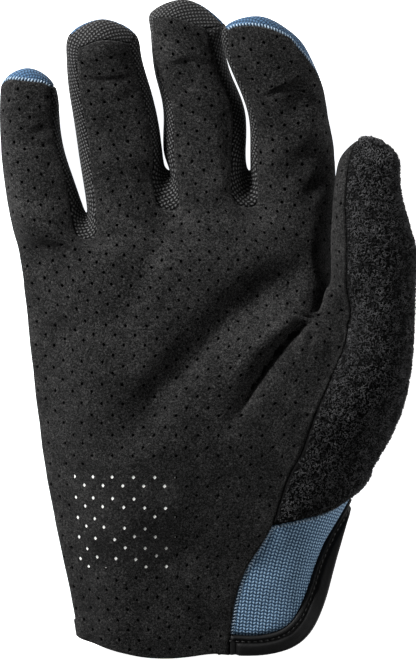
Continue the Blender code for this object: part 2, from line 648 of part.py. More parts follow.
def centre_on_ground(pieces):
    """Shift every piece so that the whole glove is centred over the origin, on the ground."""
    points = [vert.co for piece in pieces for vert in piece.data.vertices]
    middle = [(min(point[axis] for point in points) + max(point[axis] for point in points)) / 2
              for axis in range(2)]
    ground = min(point.z for point in points)
    for piece in pieces:
        piece.data.transform(Matrix.Translation((-middle[0], -middle[1], -ground)))


def main():
    for stale in list(bpy.data.objects):
        bpy.data.objects.remove(stale)
    parts = bpy.data.collections.new("motocross_glove")
    guides = bpy.data.collections.new("guides")
    bpy.context.scene.collection.children.link(parts)
    bpy.context.scene.collection.children.link(guides)
    for name in MATERIALS:
        new_material(name)
    cage = Cage()
    put_hand(cage)
    put_crotches(cage)
    join_hand(cage)
    put_fingers(cage)
    put_thumb(cage)
    fit_cage(cage)
    form = smooth_skin(cage, guides)
    for name in PANELS:
        panel_sheet(name, form, parts)
    label_sheet(form, parts)
    form.free()
    centre_on_ground(parts.objects)


main()
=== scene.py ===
"""Looks of the motocross glove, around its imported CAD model.

The same coarse cage as the solids gives one smooth skin, here far finer. Each panel of cloth is a
piece of that skin with its own relief, edge and material: perforated suede, terry, ribbed knit,
open mesh and stitched tape, over one thin lining.
"""
import json
import math
from collections import namedtuple

import bpy
import numpy as np
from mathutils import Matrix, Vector, noise
from mathutils.bvhtree import BVHTree
from mathutils.kdtree import KDTree

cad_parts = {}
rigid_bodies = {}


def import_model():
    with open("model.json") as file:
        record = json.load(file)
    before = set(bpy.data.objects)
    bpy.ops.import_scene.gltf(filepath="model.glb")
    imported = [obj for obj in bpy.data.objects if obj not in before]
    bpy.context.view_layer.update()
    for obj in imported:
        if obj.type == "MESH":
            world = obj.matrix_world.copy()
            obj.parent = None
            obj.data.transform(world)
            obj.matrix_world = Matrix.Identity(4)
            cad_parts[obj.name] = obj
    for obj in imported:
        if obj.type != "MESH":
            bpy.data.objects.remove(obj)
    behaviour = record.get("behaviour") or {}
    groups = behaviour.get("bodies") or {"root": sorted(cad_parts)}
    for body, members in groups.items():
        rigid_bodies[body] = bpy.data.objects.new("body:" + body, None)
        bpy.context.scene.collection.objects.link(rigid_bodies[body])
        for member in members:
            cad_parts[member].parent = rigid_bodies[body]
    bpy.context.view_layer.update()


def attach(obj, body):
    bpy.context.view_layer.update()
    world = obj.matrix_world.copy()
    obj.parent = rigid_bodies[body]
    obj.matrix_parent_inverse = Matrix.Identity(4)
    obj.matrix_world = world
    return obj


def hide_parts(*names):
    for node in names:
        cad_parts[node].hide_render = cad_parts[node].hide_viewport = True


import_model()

# Driving sizes, in metres
PALM_LENGTH = 0.162          # cuff edge to the crotches of the middle finger
PALM_THICKNESS = 0.032       # back to palm at the heel of the hand
LITTLE_WIDTH = 0.0257
RING_WIDTH = 0.0290
MIDDLE_WIDTH = 0.0284
INDEX_WIDTH = 0.0308
THUMB_WIDTH = 0.0286
LITTLE_REACH = 0.0519        # crotch line to fingertip, seen from above
RING_REACH = 0.0687
MIDDLE_REACH = 0.0755
INDEX_REACH = 0.0705
THUMB_REACH = 0.0600         # thumb's web to its tip, seen from above
FINGER_THICKNESS = 0.0205    # back to front at the root of a finger
THUMB_THICKNESS = 0.0250
FINGER_CURL = 0.0120         # rise of the index fingertip above its root
THUMB_RISE = 0.0260          # middle of the thumb above the rest plane
FINGER_GAP = 0.0007          # free space between neighbouring fingers at their roots
THUMB_GAP = 0.0010           # free space between the thumb and the side of the hand
CROTCH_FLOORS = (0.0100, 0.0135, 0.0125)  # how far above its palm seam each crotch's floor lies
SHELL_WALL = 0.0012
# White patch behind the perforations: painted light, a white sheet standing in for the light seen through
# the holes
SEE_THROUGH_PATCH_WIDTH = 0.036
SEE_THROUGH_PATCH_LENGTH = 0.034
SEE_THROUGH_PATCH_FROM_CUFF = 0.0325     # cuff edge to the nearer end of the white patch
SEE_THROUGH_PATCH_FROM_EDGE = 0.0075     # outer edge of the hand to the white patch
FOLD_DEPTH = 0.0040          # deepest fold, at the root of the thumb

# Worked out from the driving sizes
PALM_WIDTH = LITTLE_WIDTH + RING_WIDTH + MIDDLE_WIDTH + INDEX_WIDTH + 3 * FINGER_GAP
COLUMNS = 16                 # lines of the cage across the palm, four to each finger
SEAM_COLUMN = 13             # line that follows the thumb-side seam of the suede
OUT_A = SEAM_COLUMN + 1      # the two lines beyond it
OUT_B = COLUMNS - 1
RING_POINTS = 10             # cage points round a finger or the thumb

PANELS = ("palm", "thumb_panel", "back", "cuff_binding", "fourchette_little_ring",
          "fourchette_ring_middle", "fourchette_middle_index")
FOURCHETTES = PANELS[4:]

# Rows of the hand from the cuff to the crotches. Across is a share of the palm's width from its
# outer edge, along a share of the palm's length from the cuff, high a share of its thickness.
# The seam, out_a and out_b are the last three lines of the palm side and edge is the line beyond;
# back_along is the place of the same row on the back, under out_b.
Row = namedtuple("Row", "name outer_across outer_along middle_along top_high "
                        "seam_across seam_along seam_high out_a_across out_a_along out_a_high "
                        "out_b_across out_b_along out_b_high edge_across edge_along edge_high back_along")
ROWS = (
    Row("cuff", 0.200, 0.044, 0.002, 0.76, 0.669, 0.007, 0.72, 0.888, 0.033, 0.64,
        0.996, 0.199, 0.45, 1.043, 0.320, 0.28, 0.090),
    Row("binding", 0.191, 0.088, 0.048, 0.79, 0.672, 0.053, 0.76, 0.850, 0.071, 0.69,
        0.948, 0.221, 0.49, 1.043, 0.351, 0.28, 0.130),
    Row("gusset", 0.166, 0.181, 0.161, 0.85, 0.709, 0.179, 0.83, 0.857, 0.203, 0.77,
        0.974, 0.269, 0.58, 1.051, 0.362, 0.30, 0.240),
    Row("heel", 0.129, 0.305, 0.296, 0.94, 0.801, 0.294, 0.92, 0.888, 0.305, 0.87,
        0.995, 0.331, 0.68, 1.069, 0.373, 0.33, 0.322),
    Row("thenar", 0.092, 0.448, 0.448, 1.00, 0.888, 0.448, 0.99, 0.995, 0.419, 0.90,
        1.106, 0.412, 0.56, 1.103, 0.430, 0.24, 0.418),
    Row("mount", 0.068, 0.592, 0.587, 1.00, 0.965, 0.592, 1.03, None, None, None,
        1.060, 0.536, 0.34, 1.066, 0.543, 0.16, 0.552),
    Row("web", 0.046, 0.724, 0.713, 0.96, 1.032, 0.735, 0.95, None, None, None,
        1.042, 0.658, 0.34, 1.048, 0.662, 0.16, 0.675),
    Row("notch", 0.031, 0.823, 0.812, 0.90, 0.928, 0.762, 0.87, 0.984, 0.768, 0.62,
        1.008, 0.755, 0.42, 1.014, 0.760, 0.20, 0.775),
    Row("knuckle", 0.015, 0.901, 0.901, 0.84, 0.895, 0.890, 0.85, 0.940, 0.890, 0.78,
        0.992, 0.890, 0.46, 1.000, 0.890, 0.22, 0.890),
)
NO_THUMB_ROWS = ("mount", "web")     # the thumb's hole takes their out_a points

# Section of the hand between the points of its rows. Heights are shares of the palm's thickness,
# places across are shares of the palm's width and of each row's own line.
FRONT_EDGE_HIGH = 0.42       # where the palm side begins, at the outer edge
BACK_EDGE_HIGH = 0.20        # where the back begins, below it
BACK_EDGE_IN = 0.030         # and how far in from the outer edge
SWELL_ENDS = 0.42            # place across a row where the palm has risen to its full height
SWELL_POWER = 2.3            # how round that rise is
BOW_ENDS = 0.9               # place across a row where its bow runs out
BOW_MIDDLE = 0.45            # place across a row of its middle point
BACK_STARTS = 0.035          # first place of the back's line across a row
BACK_SPAN = 0.93
BACK_LIFT = 0.05             # rise of the back at its two ends
BACK_FLAT_POWER = 8          # how flat the back is between them
BACK_HIGH = -0.012           # the back's middle, just below the ground it is pressed flat on
BACK_MIDDLE = 0.45           # places across a row where the back's own along values stand
BACK_THUMB = 0.86
BACK_INSET = (0.04, 0.02)    # the back's line lies this far in from the outer and thumb edges
BACK_AHEAD = 0.012           # and this share of the palm's length ahead of the palm's own

# Crotches, as shares of the palm's length, with the four places of each finger's own root line
CROTCH_ALONG = {"little": (0.955, 0.947, 0.941, 0.936), "ring": (0.940, 0.962, 0.986, 1.000),
                "middle": (1.000, 1.009, 1.013, 1.008), "index": (1.006, 1.000, 0.994, 0.980)}
CROTCH_HIGH = 0.395          # middle of the finger roots, as a share of the palm's thickness
CROTCH_THICK = 1.12          # thickness of the roots, as a share of the finger thickness
ROOT_ALONG = 0.985           # where a finger's reach is measured from, of the palm's length

# Sections of the fingers. Along is a share of the finger's reach, shift a share of its width
# towards the thumb, wide and thick shares of its width and of the finger thickness, lift a share
# of the curl. The seams are where the palm panel ends, as shares of the half width. Slant is how
# far the thumb side of the section lies ahead, as a share of the width.
Section = namedtuple("Section", "along shift wide thick lift outer_seam inner_seam slant")
# The palm panel's edge at a fingertip is an arc: tip_arc says how far its four points lie ahead of
# the last section, as shares of the finger's width
Finger = namedtuple("Finger", "name width reach sections cap_depth tip_arc")
FINGERS = (
    Finger("little", LITTLE_WIDTH, LITTLE_REACH, (
        Section(0.21, -0.118, 0.985, 0.90, 0.02, 0.995, 0.77, 0.00),
        Section(0.43, -0.208, 0.890, 0.87, 0.05, 0.995, 0.77, 0.00),
        Section(0.65, -0.250, 0.840, 0.81, 0.12, 0.995, 0.78, 0.00),
        Section(0.87, -0.270, 0.765, 0.60, 0.20, 0.970, 0.80, 0.00)), 0.12,
        (0.02, 0.10, 0.07, 0.00)),
    Finger("ring", RING_WIDTH, RING_REACH, (
        Section(0.29, -0.068, 1.050, 1.01, 0.05, 0.72, 0.77, 0.00),
        Section(0.48, -0.129, 1.060, 0.98, 0.15, 0.71, 0.78, 0.00),
        Section(0.67, -0.222, 1.017, 0.92, 0.36, 0.70, 0.79, 0.00),
        Section(0.82, -0.277, 0.935, 0.87, 0.62, 0.70, 0.80, 0.00),
        Section(0.92, -0.288, 0.830, 0.72, 0.85, 0.72, 0.80, 0.00)), 0.08,
        (-0.11, 0.00, 0.01, -0.06)),
    Finger("middle", MIDDLE_WIDTH, MIDDLE_REACH, (
        Section(0.30, -0.048, 1.055, 1.01, 0.02, 0.74, 0.68, 0.00),
        Section(0.49, -0.060, 1.045, 0.98, 0.06, 0.76, 0.70, 0.00),
        Section(0.67, -0.205, 0.970, 0.93, 0.17, 0.90, 0.72, 0.00),
        Section(0.84, -0.262, 0.955, 0.90, 0.34, 0.92, 0.58, -0.06),
        Section(0.92, -0.268, 0.945, 0.74, 0.47, 0.90, 0.48, -0.16)), 0.08,
        (-0.06, 0.02, 0.02, -0.04)),
    Finger("index", INDEX_WIDTH, INDEX_REACH, (
        Section(0.31, -0.013, 0.980, 1.02, 0.10, 0.83, 0.995, 0.00),
        Section(0.48, -0.053, 0.930, 0.98, 0.30, 0.84, 0.995, 0.00),
        Section(0.65, -0.158, 0.987, 0.90, 0.58, 0.85, 0.995, 0.00),
        Section(0.80, -0.297, 1.010, 0.78, 0.86, 0.86, 0.900, -0.06),
        Section(0.91, -0.373, 0.870, 0.54, 1.04, 0.88, 0.790, -0.14)), 0.075,
        (-0.01, 0.09, 0.09, 0.00)),
)
BACK_TURN = math.radians(60)  # how far round the back a finger's side begins
BACK_TURN_LOSS = 0.45        # and how much less where the palm seam lies high

# Root of the thumb, point by point round it, as the rows above: across, along, high
Root = namedtuple("Root", "across along high")
THUMB_ROOT = (
    Root(0.966, 0.803, 0.90), Root(1.037, 0.785, 1.04), Root(1.100, 0.700, 1.18),
    Root(1.150, 0.590, 1.04), Root(1.199, 0.560, 0.72), Root(1.183, 0.562, 0.42),
    Root(1.125, 0.660, 0.31), Root(1.070, 0.740, 0.34), Root(1.028, 0.797, 0.44),
    Root(0.998, 0.817, 0.60),
)
# Sections of the thumb: along a share of its reach from the web, shift and wide shares of its
# width, thick of its thickness, high of its rise
ThumbSection = namedtuple("ThumbSection", "along shift wide thick high")
THUMB_SECTIONS = (
    ThumbSection(0.16, -0.082, 1.034, 1.02, 1.00),
    ThumbSection(0.35, -0.080, 1.036, 1.00, 1.06),
    ThumbSection(0.54, -0.130, 0.905, 0.95, 1.07),
    ThumbSection(0.72, -0.155, 0.790, 0.88, 1.05),
    ThumbSection(0.87, -0.135, 0.720, 0.72, 1.06),
)
THUMB_WEB_ALONG = 0.775      # the web, as a share of the palm's length
THUMB_CAP = 0.12             # depth of the thumb's cap, as a share of its reach
THUMB_FIRST_TURN = math.radians(168)
TIP_SHARE = 0.33             # the two points of a tip lie this share of the half width aside

# Folds of the palm side: the path of each one's floor as shares across and along, its depth as a
# share of the deepest fold and its width as a share of the palm's width. A negative depth is a ridge.
Fold = namedtuple("Fold", "name path depth width")
FOLDS = (
    Fold("palm_hollow", ((1.007, 0.874), (0.889, 0.861), (0.754, 0.799), (0.627, 0.722),
         (0.504, 0.623), (0.396, 0.536), (0.328, 0.481)), 0.85, 0.072),
    Fold("thenar_crease", ((0.945, 0.748), (0.865, 0.709), (0.803, 0.660),
         (0.745, 0.596), (0.698, 0.541), (0.649, 0.494)), 0.62, 0.034),
    Fold("ring_valley", ((0.479, 0.985), (0.452, 0.923), (0.415, 0.857),
         (0.365, 0.786), (0.288, 0.698)), 0.38, 0.042),
    Fold("middle_valley", ((0.735, 1.077), (0.683, 1.026), (0.618, 0.967)), 0.30, 0.036),
    Fold("index_hollow", ((0.926, 1.249), (0.880, 1.223), (0.828, 1.192)), 0.50, 0.046),
    Fold("index_ridge", ((0.957, 1.205), (0.905, 1.148), (0.853, 1.117)), -0.22, 0.026),
)
FOLD_ENDS = 0.02             # a fold is never quite nothing at its ends
FOLD_TAPER = 0.6             # power of the fold's swell towards its middle
FIT_ROUNDS = 10              # rounds that bring the smooth skin onto the tables' points
SEE_THROUGH_PATCH_ROW = 3                # row whose outer edge the white patch is placed from


def mix(a, b, share):
    return a + (b - a) * share


def through(points, share):
    """Value at share along a few (share, value) points, on straight runs between them."""
    for (low, a), (high, b) in zip(points, points[1:]):
        if share <= high:
            return mix(a, b, (share - low) / (high - low))
    return points[-1][1]


def palm_point(across, along, high):
    """A place on the hand from its three shares."""
    return Vector(((across - 0.5) * PALM_WIDTH, along * PALM_LENGTH, high * PALM_THICKNESS))


class Cage:
    """Named points and four-sided faces, each face on one panel. A face's keys run clockwise
    as seen from outside the glove."""

    def __init__(self):
        self.index = {}
        self.points = []
        self.faces = []
        self.panels = []

    def put(self, key, point):
        self.index[key] = len(self.points)
        self.points.append(Vector(point))

    def face(self, panel, *keys):
        self.faces.append([self.index[key] for key in reversed(keys)])
        self.panels.append(PANELS.index(panel))


def finger_roots():
    """Middle of each finger's root across the hand, side by side with the gap between them."""
    middles = {}
    edge = -PALM_WIDTH / 2
    for finger in FINGERS:
        middles[finger.name] = edge + finger.width / 2
        edge += finger.width + FINGER_GAP
    return middles


def ring_turns(outer_seam, inner_seam):
    """Turns of the ten points round a finger: four in front, side, four behind, side."""
    inner = math.acos(inner_seam)
    outer = math.acos(outer_seam)
    inner_back = -(BACK_TURN - BACK_TURN_LOSS * inner)
    outer_back = -(BACK_TURN - BACK_TURN_LOSS * outer)
    front = [mix(math.pi - outer, inner, step / 3) for step in range(4)]
    back = [mix(inner_back, -math.pi - outer_back, step / 3) for step in range(4)]
    return (front + [(inner + inner_back) / 2] + back + [-math.pi - (outer + outer_back) / 2])


def ring_points(middle, ahead, half_wide, half_thick, turns, slant=0.0):
    side = Vector((1, 0, 0)) + ahead * slant
    up = Vector((1, 0, 0)).cross(ahead)
    return [middle + side * half_wide * math.cos(turn) + up * half_thick * math.sin(turn)
            for turn in turns]


def heading(middles, row):
    """Which way a tube runs at a row, seen from the side."""
    run = middles[min(row + 1, len(middles) - 1)] - middles[max(row - 1, 0)]
    return Vector((0, run.y, run.z)).normalized()


def put_tube(cage, name, first_row, middles, rings):
    """Rings of a finger or the thumb, each square to the line of its middles seen from the side.
    A ring is its half width, half thickness, turns and slant."""
    for row, (half_wide, half_thick, turns, slant) in enumerate(rings):
        points = ring_points(middles[row], heading(middles, row), half_wide, half_thick, turns, slant)
        for place, point in enumerate(points):
            cage.put((name, first_row + row, place), point)


def bend_edge(cage, name, row, ahead, middle, finger):
    """Move the four palm points of the last ring ahead, and down along the dome of the tip."""
    depth = finger.cap_depth * finger.reach
    for place, share in enumerate(finger.tip_arc):
        step = share * finger.width
        point = cage.points[cage.index[name, row, place]]
        out = point - middle
        out -= ahead * out.dot(ahead)
        lower = math.sqrt(1 - min(max(step, 0) / (2 * depth), 1) ** 2)
        point += ahead * step - Vector((0, 0, out.z)) * (1 - lower)


def join_tube(cage, name, first, rows, panel_of):
    """Faces from the first ring's keys along the tube. panel_of gives a side's panel by its place."""
    below = first
    for row in range(1, rows + 1):
        above = [(name, row, place) for place in range(RING_POINTS)]
        for place in range(RING_POINTS):
            after = (place + 1) % RING_POINTS
            cage.face(panel_of(place), below[place], above[place], above[after], below[after])
        below = above
    return below


def close_tip(cage, name, ring, middles, last_ring, depth, panels):
    """A tip of six faces: three in front and three behind a middle line of two points."""
    half_wide, _, _, slant = last_ring
    ahead = heading(middles, len(middles) - 1)
    for number, place in enumerate((-TIP_SHARE, TIP_SHARE)):
        side = Vector((1, 0, 0)) + ahead * slant
        cage.put((name, "tip", number), middles[-1] + ahead * depth + side * half_wide * place)
    middle_line = (ring[9], (name, "tip", 0), (name, "tip", 1), ring[4])
    back_line = (ring[8], ring[7], ring[6], ring[5])
    for step in range(3):
        cage.face(panels[step], ring[step], middle_line[step], middle_line[step + 1], ring[step + 1])
        cage.face(panels[step + 3], middle_line[step], back_line[step], back_line[step + 1],
                  middle_line[step + 1])


def put_hand(cage):
    """Points of the hand, row by row: palm side, two edges and back."""
    for row in ROWS:
        for column in range(SEAM_COLUMN):
            share = column / SEAM_COLUMN
            across = mix(row.outer_across + 0.004, row.seam_across, share)
            bend = math.sin(math.pi * min(share / BOW_ENDS, 1.0))
            along = mix(row.outer_along, row.seam_along, share)
            along += bend * (row.middle_along - mix(row.outer_along, row.seam_along, BOW_MIDDLE))
            rise = min(share / SWELL_ENDS, 1.0)
            fall = max((share - SWELL_ENDS) / (1 - SWELL_ENDS), 0.0)
            high = mix(FRONT_EDGE_HIGH, row.top_high, 1 - (1 - rise) ** SWELL_POWER)
            high = mix(high, row.seam_high, fall * fall * (3 - 2 * fall))
            cage.put(("front", row.name, column), palm_point(across, along, high))
        cage.put(("front", row.name, SEAM_COLUMN),
                 palm_point(row.seam_across, row.seam_along, row.seam_high))
        if row.name not in NO_THUMB_ROWS:
            cage.put(("front", row.name, OUT_A),
                     palm_point(row.out_a_across, row.out_a_along, row.out_a_high))
        cage.put(("front", row.name, OUT_B),
                 palm_point(row.out_b_across, row.out_b_along, row.out_b_high))
        cage.put(("edge", row.name, "inner"), palm_point(row.edge_across, row.edge_along, row.edge_high))
        cage.put(("edge", row.name, "outer"),
                 palm_point(row.outer_across + BACK_EDGE_IN, row.outer_along + BACK_AHEAD / 2,
                            BACK_EDGE_HIGH))
        line = ((0.0, row.outer_along + BACK_AHEAD), (BACK_MIDDLE, row.middle_along + BACK_AHEAD),
                (BACK_THUMB, row.back_along), (1.0, row.edge_along))
        for column in range(COLUMNS):
            share = BACK_STARTS + BACK_SPAN * column / (COLUMNS - 1)
            across = mix(row.outer_across + BACK_INSET[0], row.edge_across - BACK_INSET[1], share)
            high = BACK_HIGH + BACK_LIFT * (2 * share - 1) ** BACK_FLAT_POWER
            cage.put(("behind", row.name, column), palm_point(across, through(line, share), high))


def put_crotches(cage):
    """The last row of the hand, where the fingers and the crotches between them begin."""
    roots = finger_roots()
    for number, finger in enumerate(FINGERS):
        first = finger.sections[0]
        turns = ring_turns(first.outer_seam, first.inner_seam)
        middle = Vector((roots[finger.name], 0, CROTCH_HIGH * PALM_THICKNESS))
        ring = ring_points(middle, Vector((0, 1, 0)), finger.width / 2, CROTCH_THICK * FINGER_THICKNESS / 2,
                           turns)
        alongs = [share * PALM_LENGTH for share in CROTCH_ALONG[finger.name]]
        for place in range(4):
            ring[place].y = alongs[place]
            ring[8 - place].y = alongs[place]
            cage.put(("front", "crotch", 4 * number + place), ring[place])
            cage.put(("behind", "crotch", 4 * number + place), ring[8 - place])
        is_first = number == 0
        is_last = number == len(FINGERS) - 1
        ring[9].y = alongs[0] + (0 if is_first else CROTCH_FLOORS[number - 1])
        ring[4].y = alongs[3] + (0 if is_last else CROTCH_FLOORS[number])
        cage.put(("edge", "crotch", "outer") if is_first else ("floor", number, "outer"), ring[9])
        cage.put(("edge", "crotch", "inner") if is_last else ("floor", number, "inner"), ring[4])


def front_panel(row, column):
    """Panel of the palm-side face above a row and beyond a column, or none over the thumb's hole."""
    if column < SEAM_COLUMN:
        return "palm"
    if row in ("thenar", "mount", "web"):
        return None
    return {"cuff": "cuff_binding", "binding": "back", "gusset": "back",
            "heel": "thumb_panel"}.get(row, "palm")


def join_hand(cage):
    """Faces of the hand between its rows."""
    names = [row.name for row in ROWS] + ["crotch"]
    for low, high in zip(names, names[1:]):
        for column in range(COLUMNS - 1):
            panel = front_panel(low, column)
            if panel:
                cage.face(panel, ("front", low, column), ("front", high, column),
                          ("front", high, column + 1), ("front", low, column + 1))
        behind = "cuff_binding" if low == "cuff" else "back"
        side = "thumb_panel" if low in ("heel", "thenar") else behind
        cage.face(side, ("front", low, OUT_B), ("front", high, OUT_B),
                  ("edge", high, "inner"), ("edge", low, "inner"))
        cage.face(behind, ("edge", low, "inner"), ("edge", high, "inner"),
                  ("behind", high, OUT_B), ("behind", low, OUT_B))
        for column in range(COLUMNS - 1):
            cage.face(behind, ("behind", low, column + 1), ("behind", high, column + 1),
                      ("behind", high, column), ("behind", low, column))
        cage.face(behind, ("behind", low, 0), ("behind", high, 0),
                  ("edge", high, "outer"), ("edge", low, "outer"))
        cage.face(behind, ("edge", low, "outer"), ("edge", high, "outer"),
                  ("front", high, 0), ("front", low, 0))
    for number in range(len(FINGERS) - 1):
        near, far = 4 * number + 3, 4 * number + 4
        inner, outer = ("floor", number, "inner"), ("floor", number + 1, "outer")
        panel = FOURCHETTES[number]
        cage.face(panel, ("front", "crotch", near), inner, outer, ("front", "crotch", far))
        cage.face(panel, inner, ("behind", "crotch", near), ("behind", "crotch", far), outer)


def finger_panels(number):
    """Panels round a finger, place by place, and the six panels of its tip."""
    outer = FOURCHETTES[number - 1] if number > 0 else "back"
    inner = FOURCHETTES[number] if number < len(FOURCHETTES) else "back"
    sides = ("palm", "palm", "palm", inner, inner, "back", "back", "back", outer, outer)
    tip_front = {"ring": FOURCHETTES[0], "middle": FOURCHETTES[1]}.get(FINGERS[number].name, "back")
    return sides, (tip_front,) * 3 + ("back",) * 3


def put_fingers(cage):
    roots = finger_roots()
    for number, finger in enumerate(FINGERS):
        root = Vector((roots[finger.name], ROOT_ALONG * PALM_LENGTH, CROTCH_HIGH * PALM_THICKNESS))
        middles = [root + Vector((section.shift * finger.width, section.along * finger.reach,
                                  section.lift * FINGER_CURL)) for section in finger.sections]
        rings = [(section.wide * finger.width / 2, section.thick * FINGER_THICKNESS / 2,
                  ring_turns(section.outer_seam, section.inner_seam), section.slant)
                 for section in finger.sections]
        put_tube(cage, finger.name, 1, middles, rings)
        last_row = len(middles) - 1
        bend_edge(cage, finger.name, last_row + 1, heading(middles, last_row), middles[-1], finger)
        first = [("front", "crotch", 4 * number + place) for place in range(4)]
        first.append(("edge", "crotch", "inner") if number == 3 else ("floor", number, "inner"))
        first += [("behind", "crotch", 4 * number + place) for place in (3, 2, 1, 0)]
        first.append(("edge", "crotch", "outer") if number == 0 else ("floor", number, "outer"))
        sides, tips = finger_panels(number)
        last = join_tube(cage, finger.name, first, len(middles), lambda place: sides[place])
        close_tip(cage, finger.name, last, middles, rings[-1], finger.cap_depth * finger.reach, tips)


def put_thumb(cage):
    for place, root in enumerate(THUMB_ROOT):
        cage.put(("thumb", 1, place), palm_point(*root))
    start = Vector((PALM_WIDTH / 2 + THUMB_GAP + THUMB_WIDTH / 2, THUMB_WEB_ALONG * PALM_LENGTH, 0))
    middles = [start + Vector((section.shift * THUMB_WIDTH, section.along * THUMB_REACH,
                               section.high * THUMB_RISE)) for section in THUMB_SECTIONS]
    step = 2 * math.pi / RING_POINTS
    turns = [THUMB_FIRST_TURN - step * place for place in range(RING_POINTS)]
    rings = [(section.wide * THUMB_WIDTH / 2, section.thick * THUMB_THICKNESS / 2, turns, 0.0)
             for section in THUMB_SECTIONS]
    put_tube(cage, "thumb", 2, middles, rings)
    hole = [("front", row, SEAM_COLUMN) for row in ("notch", "web", "mount", "thenar")]
    hole.append(("front", "thenar", OUT_A))
    hole += [("front", row, OUT_B) for row in ("thenar", "mount", "web", "notch")]
    hole.append(("front", "notch", OUT_A))
    sides = ("palm",) + ("thumb_panel",) * 8 + ("palm",)
    last = join_tube(cage, "thumb", hole, len(middles) + 1, lambda place: sides[place])
    tips = ("palm",) + ("thumb_panel",) * 5
    close_tip(cage, "thumb", last, middles, rings[-1], THUMB_CAP * THUMB_REACH, tips)


def fit_cage(cage):
    """Move the cage's points out until the smooth skin passes through the tables' points."""
    wanted = [point.copy() for point in cage.points]
    beside = [set() for _ in wanted]
    opposite = [[] for _ in wanted]
    uses = {}
    for face in cage.faces:
        for corner in range(4):
            here, after = face[corner], face[(corner + 1) % 4]
            beside[here].add(after)
            beside[after].add(here)
            opposite[here].append(face[(corner + 2) % 4])
            edge = (min(here, after), max(here, after))
            uses[edge] = uses.get(edge, 0) + 1
    rim = {}
    for (a, b), count in uses.items():
        if count == 1:
            rim.setdefault(a, []).append(b)
            rim.setdefault(b, []).append(a)
    for _ in range(FIT_ROUNDS):
        smooth = []
        for here, point in enumerate(cage.points):
            if here in rim:
                smooth.append((point * 4 + cage.points[rim[here][0]] + cage.points[rim[here][1]]) / 6)
                continue
            count = len(beside[here])
            total = point * count * count
            for other in beside[here]:
                total += cage.points[other] * 4
            for other in opposite[here]:
                total += cage.points[other]
            smooth.append(total / (count * (count + 5)))
        for here, point in enumerate(cage.points):
            point += wanted[here] - smooth[here]


# Finer creases and ridges than the solids carry, in the same shares
CREASES = (
    Fold("hollow_floor", ((0.985, 0.870), (0.889, 0.861), (0.754, 0.799), (0.627, 0.722),
         (0.504, 0.623), (0.396, 0.536), (0.328, 0.481)), 0.50, 0.060),
    Fold("thenar_line", ((0.932, 0.754), (0.892, 0.736), (0.843, 0.702),
         (0.794, 0.658), (0.742, 0.600), (0.700, 0.545)), 0.62, 0.014),
    Fold("thenar_lip", ((0.926, 0.773), (0.859, 0.746), (0.797, 0.711),
         (0.742, 0.671), (0.680, 0.609)), -0.26, 0.022),
    Fold("index_crease", ((0.772, 1.234), (0.812, 1.247), (0.859, 1.260),
         (0.905, 1.274), (0.942, 1.280)), 0.26, 0.011),
    Fold("index_lip", ((0.772, 1.247), (0.859, 1.274), (0.942, 1.294)), -0.12, 0.014),
    Fold("index_side", ((0.982, 1.099), (0.967, 1.066), (0.936, 1.038), (0.896, 1.013)), 0.34, 0.022),
    Fold("index_low", ((0.957, 1.121), (0.880, 1.088), (0.803, 1.042)), 0.22, 0.036),
    Fold("middle_lip", ((0.473, 1.318), (0.550, 1.329), (0.624, 1.318)), -0.11, 0.012),
    Fold("middle_crease", ((0.483, 1.305), (0.550, 1.316), (0.618, 1.305)), 0.12, 0.012),
    Fold("middle_line", ((0.476, 1.249), (0.532, 1.214), (0.587, 1.185)), 0.26, 0.020),
    Fold("middle_side", ((0.661, 1.210), (0.674, 1.143), (0.668, 1.088)), 0.25, 0.030),
    Fold("ring_lip", ((0.217, 1.287), (0.288, 1.285), (0.365, 1.291)), -0.10, 0.011),
    Fold("ring_crease", ((0.217, 1.276), (0.288, 1.274), (0.365, 1.280)), 0.13, 0.012),
    Fold("ring_arc", ((0.384, 1.267), (0.359, 1.236), (0.310, 1.219)), 0.12, 0.020),
    Fold("ring_middle", ((0.236, 1.157), (0.304, 1.170), (0.390, 1.130)), 0.24, 0.034),
    Fold("ring_low", ((0.396, 1.099), (0.421, 1.060), (0.384, 1.011)), 0.22, 0.028),
    Fold("little_crease", ((0.020, 1.139), (0.082, 1.132), (0.137, 1.137)), 0.14, 0.012),
    Fold("little_dent", ((0.057, 1.152), (0.088, 1.161), (0.119, 1.168)), 0.22, 0.020),
    Fold("little_base", ((0.002, 1.020), (0.076, 1.011), (0.143, 1.018)), 0.10, 0.020),
    Fold("wrist_hollow", ((0.304, 0.203), (0.489, 0.216), (0.668, 0.260)), 0.34, 0.075),
    Fold("heel_ridge", ((0.310, 0.415), (0.427, 0.455), (0.566, 0.499)), -0.14, 0.034),
    Fold("web_pucker", ((0.923, 0.724), (0.914, 0.691), (0.908, 0.651)), 0.16, 0.011),
    Fold("web_line", ((0.957, 0.733), (0.979, 0.702), (0.991, 0.667)), 0.14, 0.011),
)

CREASE_SHARE = 1.35          # how much deeper than those shares they are pressed
PHOTO_HEIGHT = 0.23567       # what the photograph takes in at the glove, in metres
PHOTO_CENTRE = (0.0003, -0.0004)
CAMERA_HEIGHT = 2.5
BASE_LEVELS = 2              # subdivisions of the skin the cloth is laid flat on
FINE_LEVELS = 2              # and those that follow
RELAX_ROUNDS = 25            # rounds that round off the corners of the seams
RELAX_STEPS = (0.5, -0.51)   # share of the way of the two steps of a round
SPREAD_ROUNDS = 10           # how many points from a seam the rounding reaches
SPREAD_SHARE = 0.82          # and how much of it each point passes on
LUMPS_TURN = 0.3             # how far round its side the hand is still uneven

